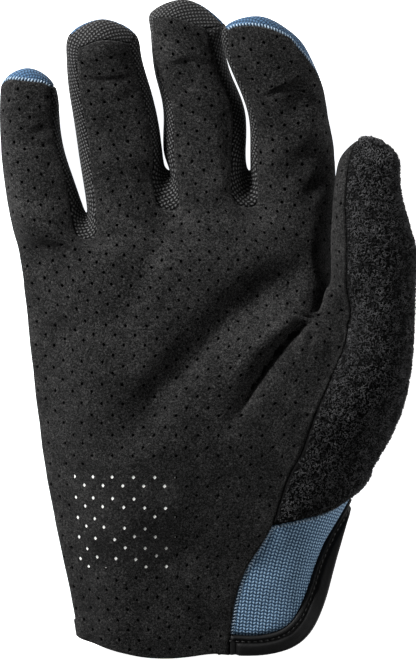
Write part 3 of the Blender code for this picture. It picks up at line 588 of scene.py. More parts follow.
# Sizes of the cloth's relief and of what is sewn on it, in metres. Proud is the height over the
# skin, roll the radius of the turned edge.
LEAST_HEIGHT = 0.0001        # no cloth lies lower than this above the rest plane
SUEDE_PROUD, SUEDE_ROLL = 0.0003, 0.0005
TERRY_PROUD, TERRY_ROLL = 0.0004, 0.0010
KNIT_PROUD, KNIT_ROLL = -0.0004, 0.0006
MESH_PROUD, MESH_ROLL = -0.0002, 0.0008
TAPE_PROUD, TAPE_ROLL = 0.0002, 0.0012
KNIT_WALL = 0.0010
TAPE_WALL = 0.0022
PIPING = (0.0007, 0.0008, 0.0006)     # height, distance from the seam and half width
GROOVE = (-0.0005, 0.0021, 0.0005)
BAND = (0.0007, 0.0024, 0.0012)       # height, where it starts and the width of its rise

# Soft unevenness: the hills' size, the noise's seed and the height
SKIN_LUMPS = ((0.011, 1, 0.0004), (0.004, 2, 0.00012))
TERRY_LUMPS = ((0.0016, 3, 0.00030), (0.0010, 4, 0.00022))

HOLE_RADIUS = 0.00062        # of a perforation, and how far it may be from its place in the grid
HOLE_PITCH = 0.0073          # between the holes of a row, and twice the way between rows
HOLE_FROM_SEAM = 0.0016
HOLE_DIMPLE = 0.00008        # how far the rim of a hole is drawn in
HOLE_DEPTH = 0.0004

CURLS = 7600                 # curls of yarn in a piece of the pile
CURLS_FROM_EDGE = 0.0007
CURL_LENGTH = (0.0006, 0.0007)        # least length of a curl, and how much longer it may be
CURL_HEIGHT = (0.0003, 0.0004)
CURL_BEND = 0.0006
CURL_SINK = 0.0002           # how deep its ends lie in the ground
YARN_RADIUS = 0.00012
YARN_SIDES = 3
YARN_RINGS = 5

THREAD_RINGS = 7
THREAD_SIDES = 6
THREAD_SINK = 0.4            # share of the arch by which its ends lie low
THREAD_BLUNT = 0.04          # share of its length at which its end is cut off
THREAD_ROUND = 0.35          # power of its swell
STITCH_STEP = 0.0021
STITCH = (0.0015, 0.00024, 0.0003)    # length, radius and arch of a stitch on the tape
STITCH_PROUD = 0.00015
OVERLOCK_STEP = 0.00115
OVERLOCK = (0.0014, 0.00027, 0.0003)
OVERLOCK_IN = 0.0005         # the overlock lies this far in from the seam
OVERLOCK_LEAN = 0.5
TIPS_FROM = 0.081            # the overlock shows past here, and on the gusset below the next
GUSSET_TO = -0.060
SIDE_PROBE = 0.002           # how far aside a panel is looked for beside its seam

LINING_DEPTHS = (0.0014, 0.0011)      # the lining's two faces, under the skin
LINING_LOWEST = (0.0008, 0.0005)
PATCH_CELLS = 24             # faces of the white patch along each side
PATCH_PROUD = 0.00012
RAY_FROM = 0.2               # height from which the patch is let down onto the skin

# Panels cut as long strips, with the strip's usual width
STRIP_WIDTHS = {"cuff_binding": 0.0072, "fourchette_little_ring": 0.020,
                "fourchette_ring_middle": 0.020, "fourchette_middle_index": 0.020}
TAPE_FOLDED = 2              # the tape is folded double over the edge, so it is cut twice as wide

# Lamps of the studio: name, place, width across and power in watts
LAMPS = (("key", (-0.44, 0.38, 0.29), 0.14, 9.5),
         ("fill", (0.80, 0.40, 0.36), 0.40, 3.5),
         ("top", (0.0, 0.2, 1.4), 1.0, 0.8))
FLOOR_HALF = 3.0
FLOOR_GREY = 0.90
FLOOR_GLOW = 1.0
STUDIO_GLOW = 0.10
GLOVE_MIDDLE_HIGH = 0.02     # the lamps and the lens are set for this height
LENS_WIDTH = 36              # the camera's sensor, in millimetres

Skin = namedtuple("Skin", "points normals quads panels uvs base_count base_quads base_panels")


def mesh_arrays(mesh):
    """Points, four-cornered faces, their panels and the flat place of every corner."""
    points = np.empty((len(mesh.vertices), 3), np.float32)
    mesh.vertices.foreach_get("co", points.ravel())
    quads = np.empty(len(mesh.loops), np.int32)
    mesh.loops.foreach_get("vertex_index", quads)
    panels = np.empty(len(mesh.polygons), np.int32)
    mesh.polygons.foreach_get("material_index", panels)
    uvs = np.empty((len(mesh.loops), 2), np.float32)
    mesh.uv_layers["flat"].uv.foreach_get("vector", uvs.ravel())
    return points.astype(float), quads.reshape(-1, 4), panels, uvs.reshape(-1, 4, 2).astype(float)


def subdivided(mesh, levels, limit):
    """A copy of the mesh under Subdivision Surface."""
    work = bpy.data.objects.new("work", mesh)
    bpy.context.scene.collection.objects.link(work)
    smooth = work.modifiers.new("smooth", "SUBSURF")
    smooth.levels = levels
    smooth.use_limit_surface = limit
    depsgraph = bpy.context.evaluated_depsgraph_get()
    fine = bpy.data.meshes.new_from_object(work.evaluated_get(depsgraph), depsgraph=depsgraph)
    bpy.data.objects.remove(work)
    return fine


def edge_table(quads):
    """Every edge once, with its first and second face, or -1 where it has no second."""
    count = len(quads)
    pairs = np.sort(np.stack([quads, np.roll(quads, -1, 1)], 2).reshape(-1, 2), axis=1)
    edges, place = np.unique(pairs, axis=0, return_inverse=True)
    place = place.ravel()
    faces = np.repeat(np.arange(count), 4)
    order = np.argsort(place, kind="stable")
    sides = np.full((len(edges), 2), -1)
    first = np.searchsorted(place[order], np.arange(len(edges)))
    sides[:, 0] = faces[order][first]
    last = np.searchsorted(place[order], np.arange(len(edges)), side="right") - 1
    double = last > first
    sides[double, 1] = faces[order][last[double]]
    return edges, sides


def unwrap(mesh):
    """Lay every panel flat with the least stretch, in metres, as its UV map."""
    edges, sides = edge_table(mesh_faces(mesh))
    panels = np.empty(len(mesh.polygons), np.int32)
    mesh.polygons.foreach_get("material_index", panels)
    border = (sides[:, 1] < 0) | (panels[sides[:, 0]] != panels[sides[:, 1]])
    seams = {(int(a), int(b)) for a, b in edges[border]}
    for edge in mesh.edges:
        edge.use_seam = tuple(sorted(edge.vertices)) in seams
    mesh.uv_layers.new(name="flat")
    work = bpy.data.objects.new("work", mesh)
    bpy.context.scene.collection.objects.link(work)
    bpy.context.view_layer.objects.active = work
    work.select_set(True)
    bpy.ops.object.mode_set(mode="EDIT")
    bpy.ops.mesh.select_all(action="SELECT")
    bpy.ops.uv.unwrap(method="MINIMUM_STRETCH", fill_holes=False, correct_aspect=False, margin=0.0)
    bpy.ops.object.mode_set(mode="OBJECT")
    bpy.data.objects.remove(work)
    points, quads, panels, uvs = mesh_arrays(mesh)
    for number in range(len(PANELS)):
        mine = panels == number
        corners = points[quads[mine]]
        flat = uvs[mine]
        scale = math.sqrt(quad_areas(corners).sum() / quad_areas(with_zero(flat)).sum())
        place = corners[..., :2].reshape(-1, 2)
        normal = np.cross(corners[:, 2] - corners[:, 0], corners[:, 3] - corners[:, 1])
        facing = normal[:, 2] / np.linalg.norm(normal, axis=1)
        away = facing.sum() < 0
        weight = np.repeat(np.clip(-facing if away else facing, 0, 1), 4)
        laid = flat.reshape(-1, 2) * scale
        laid = laid - (laid * weight[:, None]).sum(0) / weight.sum()
        if away:
            place = place * (-1, 1)
        middle = (place * weight[:, None]).sum(0) / weight.sum()
        to = place - middle
        turn = math.atan2((weight * (laid[:, 0] * to[:, 1] - laid[:, 1] * to[:, 0])).sum(),
                          (weight * (laid * to).sum(1)).sum())
        turned = laid @ np.array([[math.cos(turn), math.sin(turn)], [-math.sin(turn), math.cos(turn)]])
        uvs[mine] = (turned + middle).reshape(-1, 4, 2)
    mesh.uv_layers["flat"].uv.foreach_set("vector", uvs.astype(np.float32).ravel())


def mesh_faces(mesh):
    corners = np.empty(len(mesh.loops), np.int32)
    mesh.loops.foreach_get("vertex_index", corners)
    return corners.reshape(-1, 4)


def with_zero(flat):
    return np.concatenate([flat, np.zeros((*flat.shape[:2], 1))], 2)


def quad_areas(corners):
    return np.linalg.norm(np.cross(corners[:, 2] - corners[:, 0], corners[:, 3] - corners[:, 1]), axis=1) / 2


def sum_at(index, values, count):
    return np.stack([np.bincount(index, values[:, axis], count) for axis in range(values.shape[1])], 1)


def vertex_normals(points, quads):
    corners = points[quads]
    normals = np.cross(corners[:, 2] - corners[:, 0], corners[:, 3] - corners[:, 1])
    total = sum_at(quads.ravel(), np.repeat(normals, 4, 0), len(points))
    return total / np.maximum(np.linalg.norm(total, axis=1, keepdims=True), 1e-12)


def smooth_steps(t):
    t = np.clip(t, 0, 1)
    return t * t * (3 - 2 * t)


def relax_seams(points, quads, panels, rounds):
    """Round the corners of the seams, and let the faces beside them follow along the surface."""
    edges, sides = edge_table(quads)
    rim = sides[:, 1] < 0
    seam = ~rim & (panels[sides[:, 0]] != panels[sides[:, 1]])
    count = len(points)
    fixed = np.zeros(count, bool)
    fixed[edges[rim].ravel()] = True
    on_seam = np.zeros(count, bool)
    on_seam[edges[seam].ravel()] = True
    weight = np.zeros(count)
    weight[on_seam] = 1
    for _ in range(SPREAD_ROUNDS):
        spread = weight.copy()
        np.maximum.at(spread, edges[:, 0], weight[edges[:, 1]] * SPREAD_SHARE)
        np.maximum.at(spread, edges[:, 1], weight[edges[:, 0]] * SPREAD_SHARE)
        weight = spread
    weight[fixed] = 0
    ends = np.concatenate([edges, edges[:, ::-1]])
    seam_ends = np.concatenate([edges[seam], edges[seam][:, ::-1]])
    degree = np.maximum(np.bincount(ends[:, 0], minlength=count), 1)[:, None]
    seam_degree = np.maximum(np.bincount(seam_ends[:, 0], minlength=count), 1)[:, None]
    for number in range(2 * rounds):
        normals = vertex_normals(points, quads)
        mean = sum_at(ends[:, 0], points[ends[:, 1]], count) / degree
        along = sum_at(seam_ends[:, 0], points[seam_ends[:, 1]], count) / seam_degree
        mean[on_seam] = along[on_seam]
        step = mean - points
        step -= normals * (step * normals).sum(1, keepdims=True)
        # Every second step goes back out, so that corners round off and long curves stay
        points = points + step * (RELAX_STEPS[number % 2] * weight)[:, None]
    return points


def fold_shifts(points):
    """How far the folds push each place of the palm side in, in metres."""
    shift = np.zeros(len(points))
    finer = tuple(fold._replace(depth=fold.depth * CREASE_SHARE) for fold in CREASES)
    for fold in FOLDS + finer:
        ends = [np.array(palm_point(*place, 0)[:2]) for place in fold.path]
        nearest = np.full(len(points), np.inf)
        share = np.zeros(len(points))
        for part in range(len(ends) - 1):
            run = ends[part + 1] - ends[part]
            place = np.clip(((points[:, :2] - ends[part]) @ run) / (run @ run), 0, 1)
            distance = np.linalg.norm(points[:, :2] - ends[part] - place[:, None] * run, axis=1)
            closer = distance < nearest
            nearest = np.where(closer, distance, nearest)
            share = np.where(closer, (part + place) / (len(ends) - 1), share)
        taper = np.sin(math.pi * np.clip(share, FOLD_ENDS, 1 - FOLD_ENDS)) ** FOLD_TAPER
        shift += fold.depth * FOLD_DEPTH * taper * np.exp(-(nearest / (fold.width * PALM_WIDTH)) ** 2)
    return shift


def noise_at(points, size, seed):
    """Soft noise from -1 to 1 at each place, with hills about size across."""
    shift = Vector((seed * 7.31, seed * 3.77, seed * 5.19))
    return np.array([noise.noise(Vector(point) / size + shift) for point in points])


def lumps(points, hills):
    """Height of the unevenness at each place."""
    return sum(noise_at(points, size, seed) * height for size, seed, height in hills)


skin_shift = [0.0, 0.0]      # middle of the skin before it is moved onto the frame's origin


def make_skin():
    cage = Cage()
    put_hand(cage)
    put_crotches(cage)
    join_hand(cage)
    put_fingers(cage)
    put_thumb(cage)
    fit_cage(cage)
    mesh = bpy.data.meshes.new("cage")
    mesh.from_pydata(cage.points, [], cage.faces)
    for name in PANELS:
        mesh.materials.append(bpy.data.materials.new("panel_" + name))
    mesh.polygons.foreach_set("material_index", cage.panels)
    base = subdivided(mesh, BASE_LEVELS, False)
    unwrap(base)
    fine = subdivided(base, FINE_LEVELS, True)
    points, quads, panels, uvs = mesh_arrays(fine)
    base_quads = mesh_faces(base)
    base_panels = np.empty(len(base.polygons), np.int32)
    base.polygons.foreach_get("material_index", base_panels)
    points = relax_seams(points, quads, panels, RELAX_ROUNDS)
    normals = vertex_normals(points, quads)
    points -= normals * (fold_shifts(points) * np.clip(normals[:, 2], 0, 1))[:, None]
    uneven = lumps(points, SKIN_LUMPS)
    points += normals * (uneven * np.clip(normals[:, 2] + LUMPS_TURN, 0, 1))[:, None]
    middle = (points.min(0) + points.max(0)) / 2
    skin_shift[:] = middle[:2]
    points -= (middle[0], middle[1], 0)
    points[:, 2] = np.maximum(points[:, 2], 0)
    return Skin(points, vertex_normals(points, quads), quads, panels, uvs,
                len(base.vertices), base_quads, base_panels)


def tree_of(places):
    """A search tree over places, each under its own number."""
    tree = KDTree(len(places))
    for number, place in enumerate(places):
        tree.insert(place, number)
    tree.balance()
    return tree


def open_edges(quads):
    """Edges with a face on one side only, each running as its face does."""
    runs = np.stack([quads, np.roll(quads, -1, 1)], 2).reshape(-1, 2)
    known = {(int(a), int(b)) for a, b in runs}
    return [run for run in sorted(known) if run[::-1] not in known]


class Panel:
    """One panel of the skin, with its own numbering, its edge and the distance to it."""

    def __init__(self, skin, name):
        self.name = name
        mine = skin.panels == PANELS.index(name)
        quads = skin.quads[mine]
        self.kept = np.unique(quads)
        place = np.full(len(skin.points), -1)
        place[self.kept] = np.arange(len(self.kept))
        self.quads = place[quads]
        self.points = skin.points[self.kept]
        self.normals = skin.normals[self.kept]
        self.flat = np.zeros((len(self.kept), 2))
        self.flat[self.quads.ravel()] = skin.uvs[mine].reshape(-1, 2)
        self.edge = np.array(open_edges(self.quads))
        tree = tree_of(self.points[self.edge[:, 0]])
        self.inside = np.array([tree.find(point)[2] for point in self.points])
        self.area = quad_areas(self.points[self.quads]).sum()

    def cut(self):
        """Width and length of the cloth it was cut from."""
        span = np.ptp(self.flat, axis=0)
        return float(span[0]), float(span[1])


def roll(distance, radius):
    """Drop of a rolled edge at a distance from it."""
    t = 1 - np.clip(distance / radius, 0, 1)
    return radius * (1 - np.sqrt(1 - t * t))


def new_piece(name, points, faces, flat, material, replaces=()):
    mesh = bpy.data.meshes.new(name)
    mesh.from_pydata(points, [], faces)
    if flat is not None:
        layer = mesh.uv_layers.new(name="flat")
        corners = np.empty(len(mesh.loops), np.int32)
        mesh.loops.foreach_get("vertex_index", corners)
        layer.uv.foreach_set("vector", np.asarray(flat, np.float32)[corners].ravel())
    mesh.materials.append(material)
    mesh.shade_smooth()
    piece = bpy.data.objects.new(name, mesh)
    bpy.context.scene.collection.objects.link(piece)
    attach(piece, "root")
    if replaces:
        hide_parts(*replaces)
    return piece


def cloth(panel, heights, wall, name, material, closed=False):
    """A panel's outer face, raised by heights, with its edge turned in."""
    outer = panel.points + panel.normals * heights[:, None]
    count = len(outer)
    under = outer - panel.normals * wall
    if closed:
        faces = panel.quads.tolist() + (panel.quads[:, ::-1] + count).tolist()
        faces += [[b, a, a + count, b + count] for a, b in panel.edge.tolist()]
        points = np.concatenate([outer, under])
        flat = np.concatenate([panel.flat, panel.flat])
    else:
        rim = np.unique(panel.edge)
        place = {vert: count + number for number, vert in enumerate(rim.tolist())}
        faces = panel.quads.tolist()
        faces += [[b, a, place[a], place[b]] for a, b in panel.edge.tolist()]
        points = np.concatenate([outer, under[rim]])
        flat = np.concatenate([panel.flat, panel.flat[rim]])
    points[:, 2] = np.maximum(points[:, 2], LEAST_HEIGHT)
    return new_piece(name, points, faces, flat, material, (panel.name,))


class Cloth:
    """A material built from nodes, with short ways to add them."""

    def __init__(self, name, roughness, specular=0.25, sheen=0.0, sheen_roughness=0.5):
        self.material = bpy.data.materials.new(name)
        self.material.use_nodes = True
        self.tree = self.material.node_tree
        self.shader = self.tree.nodes["Principled BSDF"]
        self.shader.inputs["Roughness"].default_value = roughness
        self.shader.inputs["Specular IOR Level"].default_value = specular
        self.shader.inputs["Sheen Weight"].default_value = sheen
        self.shader.inputs["Sheen Roughness"].default_value = sheen_roughness

    def put(self, target, value):
        if isinstance(value, bpy.types.NodeSocket):
            self.tree.links.new(value, target)
        else:
            target.default_value = value

    def node(self, kind, inputs, output=0, **settings):
        made = self.tree.nodes.new(kind)
        for name, value in settings.items():
            setattr(made, name, value)
        for name, value in inputs.items():
            self.put(made.inputs[name], value)
        return made.outputs[output]

    def sum(self, operation, *values):
        return self.node("ShaderNodeMath", dict(enumerate(values)), operation=operation)

    def place(self):
        return self.node("ShaderNodeTexCoord", {}, "Object")

    def flat(self):
        split = self.tree.nodes.new("ShaderNodeSeparateXYZ")
        self.put(split.inputs[0], self.node("ShaderNodeUVMap", {}, uv_map="flat"))
        return split.outputs[0], split.outputs[1]

    def noise(self, size, detail=2.0, roughness=0.5, distortion=0.0):
        return self.node("ShaderNodeTexNoise", {"Vector": self.place(), "Scale": 1 / size,
                                                "Detail": detail, "Roughness": roughness,
                                                "Distortion": distortion})

    def span(self, value, low, high, to_low=0.0, to_high=1.0):
        return self.node("ShaderNodeMapRange", {"Value": value, "From Min": low, "From Max": high,
                                                "To Min": to_low, "To Max": to_high})

    def colours(self, value, *stops):
        made = self.tree.nodes.new("ShaderNodeValToRGB")
        ramp = made.color_ramp
        while len(ramp.elements) < len(stops):
            ramp.elements.new(0.5)
        for element, (at, colour) in zip(ramp.elements, stops):
            element.position = at
            element.color = (*colour, 1)
        self.put(made.inputs[0], value)
        return made.outputs[0]

    def finish(self, colour, height, distance, strength=1.0):
        self.put(self.shader.inputs["Base Color"], colour)
        bump = self.node("ShaderNodeBump", {"Height": height, "Distance": distance, "Strength": strength})
        self.put(self.shader.inputs["Normal"], bump)
        return self.material


def grey(value):
    return value, value, value


def suede():
    """Napped grain, with a painted pool of light: a little paler towards the middle of the palm and darker
    away from it, towards the wrist and the fingers.
    """
    look = Cloth("suede", 0.95, 0.10, 0.02, 0.4)
    fibres = look.noise(0.0006, 5, 0.8, 1.0)
    clouds = look.noise(0.012, 3, 0.6)
    tone = look.sum("ADD", look.sum("MULTIPLY", fibres, 0.88), look.sum("MULTIPLY", clouds, 0.12))
    # Painted light: a pool of light on the middle of the palm, fading to painted shade further out.
    away = look.node("ShaderNodeVectorMath", {0: look.place(), 1: (0.008, 0.028, 0.020)}, 1,
                     operation="DISTANCE")
    painted_light_pool = look.span(away, 0.015, 0.065, 0.012, -0.004)
    colour = look.colours(look.sum("ADD", tone, painted_light_pool), (0.40, grey(0.0006)),
                          (0.50, grey(0.0088)), (0.61, (0.060, 0.059, 0.058)))
    return look.finish(colour, fibres, 0.00040, 1.0)


def terry():
    look = Cloth("terry", 0.98, 0.05)
    ground = look.noise(0.0009, 4, 0.72, 1.0)
    colour = look.colours(ground, (0.40, grey(0.001)), (0.62, grey(0.010)))
    return look.finish(colour, ground, 0.0004, 1.0)


def yarn():
    look = Cloth("terry_yarn", 0.9, 0.10)
    tone = look.noise(0.0030, 3, 0.7)
    colour = look.colours(tone, (0.35, (0.010, 0.010, 0.0105)), (0.65, (0.105, 0.105, 0.108)))
    return look.finish(colour, look.noise(0.0003, 2, 0.6), 0.00008, 0.6)


def knit_height(look, across, along, lean):
    """Rows of slanting loops, two to a rib: a height from 0 to 1 in the cloth's flat place."""
    u, v = look.flat()
    rib = look.sum("ABSOLUTE", look.sum("SUBTRACT", look.sum("FRACT", look.sum("DIVIDE", u, across)), 0.5))
    rise = look.sum("MULTIPLY_ADD", rib, lean, look.sum("DIVIDE", v, along))
    loop = look.sum("SINE", look.sum("MULTIPLY", look.sum("FRACT", rise), math.pi))
    leg = look.sum("SINE", look.sum("MULTIPLY", rib, 2 * math.pi))
    return look.sum("POWER", look.sum("MULTIPLY", look.sum("ABSOLUTE", leg), loop), 0.7)


def knit(name, across, along, lean, stops, distance, roughness, tips, fuzz=0.25):
    """Ribbed knit whose colour follows the loops' height, with painted highlights on the loop tops and
    painted shade in the hollows; painted shade also darkens it by tips towards the fingertips.
    """
    look = Cloth(name, roughness, 0.20, 0.02, 0.4)
    height = knit_height(look, across, along, lean)
    fibres = look.noise(0.0008, 4, 0.7)
    mixed = look.sum("ADD", look.sum("MULTIPLY", height, 1 - fuzz), look.sum("MULTIPLY", fibres, fuzz))
    split = look.tree.nodes.new("ShaderNodeSeparateXYZ")
    look.put(split.inputs[0], look.place())
    # Painted shade: the knit's colour grows darker towards the fingertips, down to the share tips.
    painted_tip_shade = look.span(split.outputs[1], 0.040, 0.085, 1.0, tips)
    # The colour follows the loops' height: the yarn's own colour, with painted highlights on the loop tops
    # and painted shade in the hollows.
    return look.finish(look.colours(look.sum("MULTIPLY", mixed, painted_tip_shade), *stops), mixed, distance)


def tape():
    look = Cloth("tape", 0.62, 0.22, 0.0)
    fibres = look.noise(0.0007, 4, 0.6)
    colour = look.colours(fibres, (0.3, grey(0.0006)), (0.7, (0.006, 0.006, 0.0064)))
    return look.finish(colour, fibres, 0.00012, 0.7)


def thread(name, dark, light):
    look = Cloth(name, 0.6, 0.4)
    twist = look.noise(0.0005, 3, 0.6)
    return look.finish(look.colours(twist, (0.3, dark), (0.7, light)), twist, 0.0001)


# Painted light: the white of the patch stands in for the light seen through the perforations, with a faint
# weave.
def see_through_white():
    look = Cloth("see_through_white", 0.5, 0.4)
    weave = look.node("ShaderNodeTexWave", {"Vector": look.place(), "Scale": 1 / 0.004})
    colour = look.colours(weave, (0.0, (0.72, 0.72, 0.70)), (1.0, (0.86, 0.86, 0.84)))
    return look.finish(colour, weave, 0.00005, 0.5)


def seam_lines(skin, first, second):
    """Runs of skin points along the seam between two panels, each in order, the longest first."""
    edges, sides = edge_table(skin.quads)
    a, b = PANELS.index(first), PANELS.index(second)
    inner = sides[:, 1] >= 0
    pair = np.sort(skin.panels[sides], axis=1)
    mine = inner & (pair[:, 0] == min(a, b)) & (pair[:, 1] == max(a, b))
    beside = {}
    for one, other in edges[mine].tolist():
        beside.setdefault(one, []).append(other)
        beside.setdefault(other, []).append(one)
    runs = []
    seen = set()
    for start in sorted(beside, key=lambda vert: (len(beside[vert]) != 1, vert)):
        if start in seen:
            continue
        run = [start]
        seen.add(start)
        while True:
            onward = [vert for vert in beside[run[-1]] if vert not in seen]
            if not onward:
                break
            run.append(onward[0])
            seen.add(onward[0])
        runs.append(np.array(run))
    return sorted((run for run in runs if len(run) > 8), key=len, reverse=True)


def punch_holes(panel, heights):
    """Cut the perforations through the palm: the faces round a point go, and its ring is made round."""
    outer = panel.points + panel.normals * heights[:, None]
    spots = tree_of([(u, v, 0) for u, v in panel.flat])
    around = {}
    for number, quad in enumerate(panel.quads.tolist()):
        for corner in quad:
            around.setdefault(corner, []).append(number)
    low, high = panel.flat.min(0), panel.flat.max(0)
    gone = np.zeros(len(panel.quads), bool)
    rims = []
    taken = set()
    row = 0
    v = low[1]
    while v < high[1]:
        u = low[0] + (HOLE_PITCH / 2 if row % 2 else 0)
        while u < high[0]:
            _, vert, away = spots.find((u, v, 0))
            u += HOLE_PITCH
            if away > HOLE_RADIUS or panel.inside[vert] < HOLE_FROM_SEAM or len(around[vert]) != 4:
                continue
            ring = ring_round(panel.quads[around[vert]].tolist(), vert)
            if ring is None or taken & set(ring):
                continue
            taken |= set(ring)
            gone[around[vert]] = True
            middle, normal = outer[vert], panel.normals[vert]
            reach = outer[ring] - middle
            reach -= np.outer(reach @ normal, normal)
            outer[ring] = middle + reach / np.linalg.norm(reach, axis=1, keepdims=True) * HOLE_RADIUS
            outer[ring] -= normal * HOLE_DIMPLE
            rims.append(ring)
        v += HOLE_PITCH / 2
        row += 1
    return outer, gone, rims


def ring_round(quads, vert):
    """The eight points round a point, in order, from its four faces."""
    after = {}
    for quad in quads:
        at = quad.index(vert)
        after[quad[(at + 1) % 4]] = (quad[(at + 2) % 4], quad[(at + 3) % 4])
    start = quads[0][(quads[0].index(vert) + 1) % 4]
    ring = []
    for _ in range(4):
        if start not in after:
            return None
        ring += [start, after[start][0]]
        start = after[start][1]
    return ring if len(set(ring)) == 8 else None


def palm_piece(panel, material):
    """The suede, with its perforations cut through."""
    heights = SUEDE_PROUD - roll(panel.inside, SUEDE_ROLL)
    outer, gone, rims = punch_holes(panel, heights)
    count = len(outer)
    points = [outer]
    flat = [panel.flat]
    faces = panel.quads[~gone].tolist()
    rim = np.unique(panel.edge)
    points.append(outer[rim] - panel.normals[rim] * SHELL_WALL)
    flat.append(panel.flat[rim])
    place = {vert: count + number for number, vert in enumerate(rim.tolist())}
    faces += [[b, a, place[a], place[b]] for a, b in panel.edge.tolist()]
    count += len(rim)
    for ring in rims:
        for depth in (0, HOLE_DEPTH):
            points.append(outer[ring] - panel.normals[ring] * depth)
            flat.append(panel.flat[ring])
        for step in range(8):
            after = (step + 1) % 8
            faces.append([count + after, count + step, count + step + 8, count + after + 8])
        count += 16
    points = np.concatenate(points)
    points[:, 2] = np.maximum(points[:, 2], LEAST_HEIGHT)
    piece = new_piece("palm_suede", points, faces, np.concatenate(flat), material, ("palm",))
    return piece


def ridge(distance, height, place, half_width):
    return height * np.exp(-((distance - place) / half_width) ** 2)


def main():
    skin = make_skin()
    panels = {name: Panel(skin, name) for name in PANELS}
    # Knit colours from hollow to loop top: the yarn's own colour, with painted shade in the low stops and
    # painted highlights, glints, in the top ones.
    black = ((0.10, grey(0.0002)), (0.52, grey(0.0016)), (0.82, grey(0.085)))
    blue = ((0.10, (0.007, 0.018, 0.038)), (0.50, (0.062, 0.130, 0.228)),
            (0.85, (0.36, 0.53, 0.70)))
    # The last number of each knit is how far its painted shade darkens the fingertips.
    mesh_look = knit("open_knit", 0.0026, 0.0013, 1.0, black, 0.0005, 0.8, 0.92)
    blue_look = knit("blue_knit", 0.0024, 0.0012, 1.0, blue, 0.0003, 0.8, 0.58)
    made = {}
    palm = palm_piece(panels["palm"], suede())
    made[palm] = panels["palm"]
    thumb = panels["thumb_panel"]
    heights = TERRY_PROUD - roll(thumb.inside, TERRY_ROLL) + lumps(thumb.points, TERRY_LUMPS)
    made[cloth(thumb, heights, SHELL_WALL, "thumb_terry", terry())] = thumb
    add_pile(thumb, heights)
    back = panels["back"]
    heights = KNIT_PROUD - roll(back.inside, KNIT_ROLL)
    made[cloth(back, heights, KNIT_WALL, "back_knit", blue_look)] = back
    for number, name in enumerate(FOURCHETTES):
        side = panels[name]
        heights = MESH_PROUD - roll(side.inside, MESH_ROLL)
        made[cloth(side, heights, KNIT_WALL, f"side_mesh_{number + 1}", mesh_look)] = side
    binding = panels["cuff_binding"]
    inner = skin_seam_distance(skin, binding)
    band_high, band_from, band_rise = BAND
    band = band_high * smooth_steps((inner - band_from) / band_rise)
    heights = TAPE_PROUD + ridge(inner, *PIPING) + ridge(inner, *GROOVE) + band
    heights -= roll(binding.inside, TAPE_ROLL)
    made[cloth(binding, heights, TAPE_WALL, "cuff_tape", tape(), closed=True)] = binding
    for piece, panel in made.items():
        width, length = panel.cut()
        if panel.name in STRIP_WIDTHS:
            width = STRIP_WIDTHS[panel.name]
            length = float(panel.area / width)
        area = panel.area
        if panel.name == "cuff_binding":
            width *= TAPE_FOLDED
            area *= TAPE_FOLDED
    add_lining(skin)
    add_see_through_patch(skin)
    add_threads(skin, panels)
    set_stage()


class Line:
    """A run of places on a panel, a given distance in from one of its seams."""

    def __init__(self, skin, panel, chain, distance, surface):
        points, normals = skin.points[chain], skin.normals[chain]
        along = np.gradient(points, axis=0)
        side = np.cross(normals, along)
        side /= np.linalg.norm(side, axis=1, keepdims=True)
        tree = tree_of(panel.points)
        near = [sum(tree.find(spot + way * sign * SIDE_PROBE)[2]
                    for spot, way in zip(points[::8], side[::8])) for sign in (1, -1)]
        side *= 1 if near[0] < near[1] else -1
        for _ in range(3):
            side[1:-1] = (side[:-2] + side[1:-1] + side[2:]) / 3
        places = [surface.find_nearest(Vector(spot)) for spot in points + side * distance]
        self.points = np.array([place[0] for place in places])
        self.normals = np.array([place[1] for place in places])
        self.sides = side

    def every(self, step, start=0.0):
        """Places a step apart: point, direction along, normal and side."""
        runs = np.linalg.norm(np.diff(self.points, axis=0), axis=1)
        far = np.concatenate([[0], np.cumsum(runs)])
        spots = np.arange(start, max(far[-1], 3 * step), step)
        take = [np.stack([np.interp(spots, far, values[:, axis]) for axis in range(3)], 1)
                for values in (self.points, self.normals, self.sides)]
        along = np.gradient(take[0], axis=0)
        return take[0], along / np.linalg.norm(along, axis=1, keepdims=True), take[1], take[2]


def thread_mesh(points, alongs, normals, length, radius, arch):
    """Short bowed threads, one at each place along its direction."""
    rings, sides = THREAD_RINGS, THREAD_SIDES
    verts, faces = [], []
    for point, along, normal in zip(points, alongs, normals):
        normal = normal / np.linalg.norm(normal)
        across = np.cross(along, normal)
        across /= np.linalg.norm(across)
        first = len(verts)
        for ring in range(rings):
            t = ring / (rings - 1)
            rise = normal * arch * (math.sin(math.pi * t) - THREAD_SINK)
            middle = point + along * (t - 0.5) * length + rise
            swell = math.sin(math.pi * min(max(t, THREAD_BLUNT), 1 - THREAD_BLUNT))
            width = radius * swell ** THREAD_ROUND
            for side in range(sides):
                turn = 2 * math.pi * side / sides
                verts.append(middle + across * width * math.cos(turn) + normal * width * math.sin(turn))
        for ring in range(rings - 1):
            for side in range(sides):
                after = (side + 1) % sides
                low, high = first + ring * sides, first + (ring + 1) * sides
                faces.append([low + side, low + after, high + after, high + side])
        faces.append([first + side for side in reversed(range(sides))])
        faces.append([first + (rings - 1) * sides + side for side in range(sides)])
    return verts, faces


